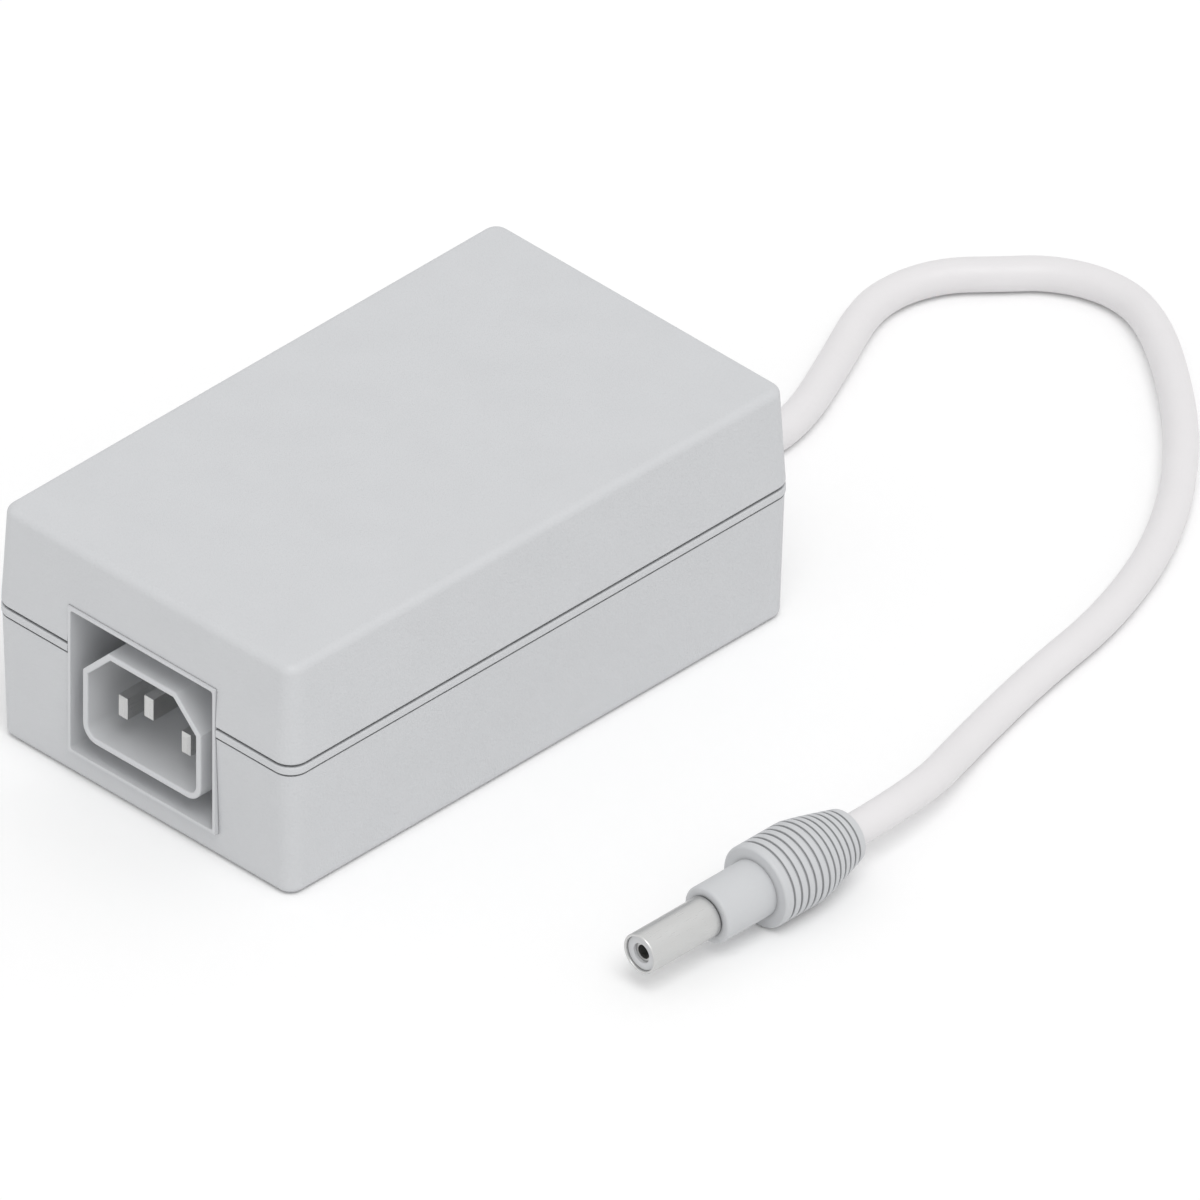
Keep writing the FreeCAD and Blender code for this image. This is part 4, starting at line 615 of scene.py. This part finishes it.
@dataclass
class Profile:
    """Outline of a turned piece: distance along the axis and radius at each corner."""

    corners: list[tuple[float, float, float]] = field(default_factory=list)
    steps: int = 6
    longest_reach: float = 0.45

    def add(self, along: float, radius: float, rounding: float = 0.05) -> None:
        """Adds a corner in millimetres: distance along the axis, radius, and radius of its arc."""
        self.corners.append((along, radius, rounding))

    def rounded(self) -> np.ndarray:
        """Outline with an exact arc at each inner corner.

        The arc is the rational quadratic curve from one tangent point to the other with the
        corner as its control point, weighted by the sine of half the corner's inner angle.
        The tangent length is the rounding over the tangent of that half angle, and at most
        the longest reach as a share of the shorter side.

        Returns:
            Array of points with distance along the axis and radius, in millimetres.
        """
        data = np.array(self.corners, dtype=float)
        place, rounding = data[:, :2], data[1:-1, 2]
        corner = place[1:-1]
        back, ahead = place[:-2] - corner, place[2:] - corner
        back_length = np.linalg.norm(back, axis=1)
        ahead_length = np.linalg.norm(ahead, axis=1)
        back = back / back_length[:, None]
        ahead = ahead / ahead_length[:, None]
        half = np.arccos(np.clip((back * ahead).sum(axis=1), -1.0, 1.0)) / 2.0
        longest = self.longest_reach * np.minimum(back_length, ahead_length)
        reach = np.minimum(rounding / np.tan(half), longest)
        start = corner + back * reach[:, None]
        stop = corner + ahead * reach[:, None]
        share = np.linspace(0.0, 1.0, self.steps)[None, :, None]
        weight = np.sin(half)[:, None, None]
        first, middle, last = (1 - share) ** 2, 2 * weight * share * (1 - share), share**2
        arcs = first * start[:, None] + middle * corner[:, None] + last * stop[:, None]
        arcs = arcs / (first + middle + last)
        return np.concatenate([place[:1], arcs.reshape(-1, 2), place[-1:]])


def quads(rows: int, columns: int) -> np.ndarray:
    """Faces between neighbouring points of a grid whose last column meets the first.

    Args:
        rows: Number of rows.
        columns: Number of columns.

    Returns:
        Array of four corner numbers a face.
    """
    row, column = np.meshgrid(np.arange(rows - 1), np.arange(columns), indexing="ij")
    after = (column + 1) % columns
    here, above = row * columns, (row + 1) * columns
    return np.stack([here + column, here + after, above + after, above + column], axis=-1).reshape(-1, 4)


def turned_piece(
    name: str, outline: np.ndarray, origin: Place, swell: np.ndarray | None = None,
) -> bpy.types.Object:
    """Turned piece about an axis along +Y that is closed at both poles.

    Point = origin + (radius cos angle, distance, radius sin angle), for each point of the
    outline and each angle; swell is added to the radius where it is given.

    Args:
        name: Name of the piece.
        outline: Distances and radii in millimetres, from one pole to the other.
        origin: Where the axis starts, in metres.
        swell: Change of the radius for each inner point and angle, in millimetres.

    Returns:
        The piece.
    """
    inner = outline[1:-1]
    if swell is None:
        swell = np.zeros((len(inner), TURN_STEPS))
    around = swell.shape[1]
    angle = np.linspace(0.0, 2.0 * math.pi, around, endpoint=False)
    radius = inner[:, 1][:, None] + swell
    along = np.broadcast_to(inner[:, 0][:, None], radius.shape)
    grid = np.stack([radius * np.cos(angle), along, radius * np.sin(angle)], axis=-1).reshape(-1, 3)
    poles = np.array([[0.0, outline[0, 0], 0.0], [0.0, outline[-1, 0], 0.0]])
    points = np.concatenate([grid, poles]) * MM + np.array(origin)
    column = np.arange(around)
    after = (column + 1) % around
    last = (len(inner) - 1) * around
    near = np.stack([np.full(around, len(grid)), after, column], axis=-1)
    far = np.stack([np.full(around, len(grid) + 1), last + column, last + after], axis=-1)
    faces = quads(len(inner), around).tolist() + near.tolist() + far.tolist()
    return piece_from(name, points, faces)


def piece_from(name: str, points: np.ndarray, faces: list[list[int]]) -> bpy.types.Object:
    """Object at the origin with a smooth mesh whose faces point outwards.

    Args:
        name: Name of the piece.
        points: Places in metres.
        faces: Corner numbers of each face.

    Returns:
        The object, linked to the scene.
    """
    mesh = bpy.data.meshes.new(name)
    mesh.from_pydata(points.tolist(), [], faces)
    mesh.update()
    corners = points[np.array([face[:3] for face in faces])]
    volume = np.einsum("ij,ij->", corners[:, 0], np.cross(corners[:, 1], corners[:, 2]))
    if volume < 0.0:
        mesh.flip_normals()
    mesh.set_sharp_from_angle(angle=SHARP_TURN)
    mesh.polygons.foreach_set("use_smooth", np.ones(len(mesh.polygons), dtype=bool))
    thing = bpy.data.objects.new(name, mesh)
    bpy.context.scene.collection.objects.link(thing)
    level = thing.modifiers.new("even_shading", "WEIGHTED_NORMAL")
    level.keep_sharp = True
    return thing


def settle(thing: bpy.types.Object, nodes: Iterable[str]) -> bpy.types.Object:
    """Puts a new piece on the body in place of its nodes.

    Args:
        thing: New piece.
        nodes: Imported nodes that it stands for.

    Returns:
        The same piece.
    """
    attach(thing, BODY)
    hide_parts(*nodes)
    LOG.info("piece %s: %d faces", thing.name, len(getattr(thing.data, "polygons", ())))
    return thing


@dataclass
class Plug:
    """Barrel plug on the end of the cord: ringed grip, smooth collar, metal sleeve; millimetres."""

    centre_x: float = 88.5
    height: float = 7.15
    rear: float = 12.0
    grip_radius: float = 7.15
    grip_end: float = 4.55
    straight: float = 9.75
    taper: float = 10.5
    bow: float = 1.12
    rings: int = 13
    first_groove: float = 1.85
    pitch: float = 1.594
    closing: float = 0.0081
    groove_width: float = 0.44
    groove: float = 0.45
    land_rounding: float = 0.16
    foot_rounding: float = 0.1
    end_rounding: float = 0.5
    tail_depth: float = 6.0
    tail_radius: float = 4.0
    tail_rounding: float = 0.2
    gap: float = 0.03
    collar_radius: float = 4.925
    collar_length: float = 10.8
    mouth_rounding: float = 0.12
    barrel_radius: float = 3.5
    barrel_step: float = 0.25

    def origin(self, front: float) -> Place:
        """Point of the plug's axis, in metres, at a place along Y in millimetres."""
        return self.centre_x * MM, front * MM, self.height * MM

    def envelope(self, place: float) -> float:
        """Radius over the rings: level, then falling with the bow's power of the share of the taper."""
        share = max(0.0, place - self.straight) / self.taper
        return self.grip_radius - (self.grip_radius - self.grip_end) * share**self.bow

    def grip(self) -> bpy.types.Object:
        """Grip with rings whose lands are flat and whose grooves have rounded feet.

        Groove number k lies at the first groove + pitch k - closing k^2, so the rings stand a
        little closer towards the cord.

        Returns:
            The piece.
        """
        whole = self.straight + self.taper
        half = self.groove_width / 2.0
        hollow = self.tail_radius + self.gap
        outline = Profile()
        outline.add(self.tail_depth, 0.0)
        outline.add(self.tail_depth, hollow, self.foot_rounding)
        outline.add(0.0, hollow, self.foot_rounding)
        outline.add(0.0, self.grip_radius, self.end_rounding)
        for number in range(self.rings - 1):
            middle = self.first_groove + self.pitch * number - self.closing * number**2
            floor = self.envelope(middle) - self.groove
            outline.add(middle - half, self.envelope(middle - half), self.land_rounding)
            outline.add(middle - half, floor, self.foot_rounding)
            outline.add(middle + half, floor, self.foot_rounding)
            outline.add(middle + half, self.envelope(middle + half), self.land_rounding)
        outline.add(whole, self.envelope(whole), self.end_rounding)
        outline.add(whole, 0.0)
        return turned_piece("plug_grip_rings", outline.rounded(), self.origin(self.rear - whole))

    def collar(self) -> bpy.types.Object:
        """Smooth collar in front of the grip, with its tail inside the grip.

        Returns:
            The piece.
        """
        bore = self.barrel_radius - self.barrel_step + self.gap
        end = self.collar_length + self.tail_depth
        outline = Profile()
        outline.add(self.tail_depth, 0.0)
        outline.add(self.tail_depth, bore, self.foot_rounding)
        outline.add(0.0, bore, self.mouth_rounding)
        outline.add(0.0, self.collar_radius, self.end_rounding)
        outline.add(self.collar_length, self.collar_radius)
        outline.add(self.collar_length, self.tail_radius)
        outline.add(end, self.tail_radius, self.tail_rounding)
        outline.add(end, 0.0)
        front = self.rear - self.straight - self.taper - self.collar_length
        return turned_piece("plug_collar_smooth", outline.rounded(), self.origin(front))

    def build(self, wardrobe: Wardrobe) -> list[bpy.types.Object]:
        """Builds and dresses the plug's new pieces.

        Args:
            wardrobe: Source of the materials.

        Returns:
            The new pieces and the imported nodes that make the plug.
        """
        grip = settle(self.grip(), ["plug_grip"])
        collar = settle(self.collar(), ["plug_collar"])
        for thing in (grip, collar):
            wardrobe.dress(thing, FINISHES["plug_plastic"])
        inner = [frame["nodes"][name] for name in ("plug_barrel", "plug_insulator", "plug_contact")]
        return [grip, collar, *inner]


@dataclass
class StrainRelief:
    """Flexible moulding where the cord leaves the case: flanges in the wall, slotted tail; millimetres."""

    front: float = 52.5
    height: float = 12.0
    flange_radius: float = 5.0
    flange_depth: float = 1.6
    neck: float = 3.57
    wall: float = 2.4
    tip: float = 3.3
    length: float = 12.0
    edge_rounding: float = 0.2
    seat_rounding: float = 0.1
    lip_rounding: float = 0.3
    tip_rounding: float = 0.25
    slots: int = 4
    slot_width: float = 0.9
    slot_depth: float = 0.42
    slot_squareness: int = 10
    web_cosine: float = 0.42
    web_steepness: float = 30.0
    plain_foot: float = 0.35
    plain_tip: float = 0.3
    tail_steps: int = 90
    around: int = 144

    @property
    def tail(self) -> float:
        """Where the tail starts behind the outer flange."""
        return self.wall + self.flange_depth

    def outline(self) -> np.ndarray:
        """Outline without the slots; its longest run, the tail, is divided finely.

        Returns:
            Distances and radii in millimetres.
        """
        profile = Profile(steps=5)
        profile.add(-self.flange_depth, 0.0)
        profile.add(-self.flange_depth, self.flange_radius, self.edge_rounding)
        profile.add(0.0, self.flange_radius, self.seat_rounding)
        profile.add(0.0, self.neck, self.seat_rounding)
        profile.add(self.wall, self.neck, self.seat_rounding)
        profile.add(self.wall, self.flange_radius, self.seat_rounding)
        profile.add(self.tail, self.flange_radius, self.lip_rounding)
        profile.add(self.tail, self.neck, self.lip_rounding)
        profile.add(self.length, self.tip, self.tip_rounding)
        profile.add(self.length, 0.0)
        rough = profile.rounded()
        index = int(np.argmax(np.diff(rough[:, 0])))
        share = np.linspace(0.0, 1.0, self.tail_steps)[1:-1, None]
        fine = rough[index] * (1.0 - share) + rough[index + 1] * share
        return np.concatenate([rough[:index + 1], fine, rough[index + 1:]])

    def slots_at(self, outline: np.ndarray) -> np.ndarray:
        """Depth of the slots over the tail.

        Row number k has its two slots a quarter turn on from row k - 1. The depth is the slot's
        own depth times two windows. Along the axis the window is 1 / (1 + u^squareness), with u
        the distance from the slot's middle over half its width. Round the axis it is a steep
        S-curve of the cosine of the angle from the slot's middle, halfway at the web's cosine.

        Args:
            outline: Distances and radii in millimetres.

        Returns:
            Change of the radius for each inner point and angle.
        """
        pitch = (self.length - self.tail) / self.slots
        along = outline[1:-1, 0][:, None]
        angle = np.linspace(0.0, 2.0 * math.pi, self.around, endpoint=False)[None, :]
        row = np.floor((along - self.tail) / pitch)
        offset = along - (self.tail + pitch * (row + 0.5))
        lengthwise = 1.0 / (1.0 + (2.0 * np.abs(offset) / self.slot_width) ** self.slot_squareness)
        turn = np.abs(np.cos(angle - row * math.pi / 2.0))
        sideways = 1.0 / (1.0 + np.exp(-(turn - self.web_cosine) * self.web_steepness))
        slotted = (along > self.tail + self.plain_foot) & (along < self.length - self.plain_tip)
        return -self.slot_depth * lengthwise * sideways * slotted

    def build(self, wardrobe: Wardrobe) -> bpy.types.Object:
        """Builds and dresses the relief.

        Args:
            wardrobe: Source of the materials.

        Returns:
            The piece.
        """
        outline = self.outline()
        origin = (0.0, self.front * MM, self.height * MM)
        thing = turned_piece("strain_relief_slotted", outline, origin, self.slots_at(outline))
        wardrobe.dress(thing, FINISHES["plug_plastic"])
        return settle(thing, ["strain_relief"])


@dataclass
class Cord:
    """Free output cord on the floor, from the strain relief to the plug's grip."""

    diameter: float = 5.65 * MM
    length: float = 0.274
    route: list[Place] = field(default_factory=lambda: [
        (0.0, 0.0645, 0.012),
        (0.0, 0.072, 0.012),
        (0.0, 0.0812, 0.00285),
        (-0.0014, 0.092, 0.00285),
        (-0.008, 0.1062, 0.00285),
        (-0.0146, 0.1192, 0.00285),
        (-0.0151, 0.1276, 0.00285),
        (-0.0123, 0.1352, 0.00285),
        (-0.0067, 0.141, 0.00285),
        (-0.0014, 0.147, 0.00285),
        (0.0069, 0.1508, 0.00285),
        (0.0161, 0.1505, 0.00285),
        (0.0285, 0.1437, 0.00285),
        (0.0468, 0.129, 0.00285),
        (0.0622, 0.1097, 0.00285),
        (0.0713, 0.088, 0.00285),
        (0.0748, 0.0675, 0.00285),
        (0.0799, 0.0475, 0.00285),
        (0.0885, 0.0285, 0.00715),
        (0.0885, 0.012, 0.00715),
    ])

    def build(self, wardrobe: Wardrobe, with_pieces: list[bpy.types.Object]) -> bpy.types.Object:
        """Args:
            wardrobe: Source of the materials.
            with_pieces: Pieces that hang on the cord; not used.

        Returns:
            The piece.
        """
        curve = bpy.data.curves.new("output_cord", "CURVE")
        curve.dimensions = "3D"
        curve.bevel_depth = self.diameter / 2.0
        curve.bevel_resolution = 8
        curve.resolution_u = 12
        curve.use_fill_caps = True
        spline = curve.splines.new("NURBS")
        spline.points.add(len(self.route) - 1)
        homogeneous = np.column_stack([np.array(self.route), np.ones(len(self.route))])
        spline.points.foreach_set("co", homogeneous.ravel())
        spline.order_u = 3
        spline.use_endpoint_u = True
        thing = bpy.data.objects.new("output_cord", curve)
        bpy.context.scene.collection.objects.link(thing)
        wardrobe.dress(thing, FINISHES["cord_jacket"])
        settle(thing, ["dc_cord"])
        return thing


@dataclass
class Studio:
    """Camera on the isometric line, pale floor and soft light."""

    aim: Place = (0.00885, 0.037, 0.0)
    width: float = 0.1884
    distance: float = 0.9
    sky: float = 0.70
    key_strength: float = 1.05
    key_spread: float = 38.0
    key_from: Place = (0.403, -0.194, 0.895)
    floor_colour: float = 0.93
    floor_lift: float = 0.09
    floor_side: float = 12.0

    def camera(self) -> None:
        """Orthographic camera that looks down the diagonal of a cube, from +X, -Y, +Z."""
        data = bpy.data.cameras.new("camera")
        data.type = "ORTHO"
        data.ortho_scale = self.width
        data.clip_start, data.clip_end = 0.01, 10.0
        thing = bpy.data.objects.new("camera", data)
        back = Vector((1.0, -1.0, 1.0)).normalized()
        thing.location = Vector(self.aim) + back * self.distance
        thing.rotation_mode = "QUATERNION"
        thing.rotation_quaternion = (-back).to_track_quat("-Z", "Y")
        bpy.context.scene.collection.objects.link(thing)
        bpy.context.scene.camera = thing

    def world(self) -> None:
        """Even light from all round, and plain white where the camera or a gloss looks past the floor."""
        world = bpy.data.worlds.new("studio")
        world.use_nodes = True
        tree = world.node_tree
        tree.nodes.clear()
        output = tree.nodes.new("ShaderNodeOutputWorld")
        light = tree.nodes.new("ShaderNodeBackground")
        light.inputs["Strength"].default_value = self.sky
        white = tree.nodes.new("ShaderNodeBackground")
        for background in (light, white):
            background.inputs["Color"].default_value = (1.0, 1.0, 1.0, 1.0)
        mixer = tree.nodes.new("ShaderNodeMixShader")
        tree.links.new(self.seen_plainly(tree), mixer.inputs["Fac"])
        tree.links.new(light.outputs[0], mixer.inputs[1])
        tree.links.new(white.outputs[0], mixer.inputs[2])
        tree.links.new(mixer.outputs[0], output.inputs["Surface"])
        bpy.context.scene.world = world

    @staticmethod
    def seen_plainly(tree: bpy.types.NodeTree) -> Socket:
        """1 for rays from the camera, off a gloss or through glass, else 0.

        Args:
            tree: Node tree that gets the nodes.

        Returns:
            Output of the test.
        """
        path = tree.nodes.new("ShaderNodeLightPath")
        share = path.outputs["Is Camera Ray"]
        for name in ("Is Glossy Ray", "Is Transmission Ray"):
            either = tree.nodes.new("ShaderNodeMath")
            either.operation = "MAXIMUM"
            tree.links.new(share, either.inputs[0])
            tree.links.new(path.outputs[name], either.inputs[1])
            share = either.outputs[0]
        return share

    def key(self) -> None:
        """One wide soft lamp far above the long side, so the floor is lit evenly."""
        data = bpy.data.lights.new("key", "SUN")
        data.energy = self.key_strength
        data.angle = math.radians(self.key_spread)
        thing = bpy.data.objects.new("key", data)
        thing.location = self.key_from
        thing.rotation_mode = "QUATERNION"
        thing.rotation_quaternion = (-Vector(self.key_from)).to_track_quat("-Z", "Y")
        bpy.context.scene.collection.objects.link(thing)

    def floor(self) -> None:
        """Plain pale floor that keeps the shadow; what is seen of it is lifted a little towards white."""
        half = self.floor_side / 2.0
        corners = [(-half, -half, 0.0), (half, -half, 0.0), (half, half, 0.0), (-half, half, 0.0)]
        mesh = bpy.data.meshes.new("floor")
        mesh.from_pydata(corners, [], [[0, 1, 2, 3]])
        thing = bpy.data.objects.new("floor", mesh)
        bpy.context.scene.collection.objects.link(thing)
        paint = Shader("floor", (self.floor_colour,) * 3, 0.9)
        paint.set("Specular IOR Level", 0.0)
        lift = paint.maths("MULTIPLY", self.seen_plainly(paint.tree), self.floor_lift)
        glow = paint.node("ShaderNodeEmission", {"Strength": lift})
        added = paint.node("ShaderNodeAddShader", {0: paint.surface.outputs[0], 1: glow.outputs[0]})
        paint.feed(paint.tree.nodes["Material Output"].inputs["Surface"], added.outputs[0])
        mesh.materials.append(paint.material)

    def build(self) -> None:
        """Sets up camera, light and floor."""
        self.camera()
        self.world()
        self.key()
        self.floor()
        bpy.context.scene.view_settings.view_transform = "Standard"
        LOG.info("studio: view %.4f m wide", self.width)


def main() -> None:
    """Builds the power supply's visible pieces and the studio."""
    logging.basicConfig(level=logging.INFO, format="%(name)s: %(message)s")
    wardrobe = Wardrobe()
    Studio().build()
    plug = Plug().build(wardrobe)
    relief = StrainRelief().build(wardrobe)
    Cord().build(wardrobe, [*plug, relief])
    wardrobe.dress_nodes()


if __name__ == "__main__":
    main()
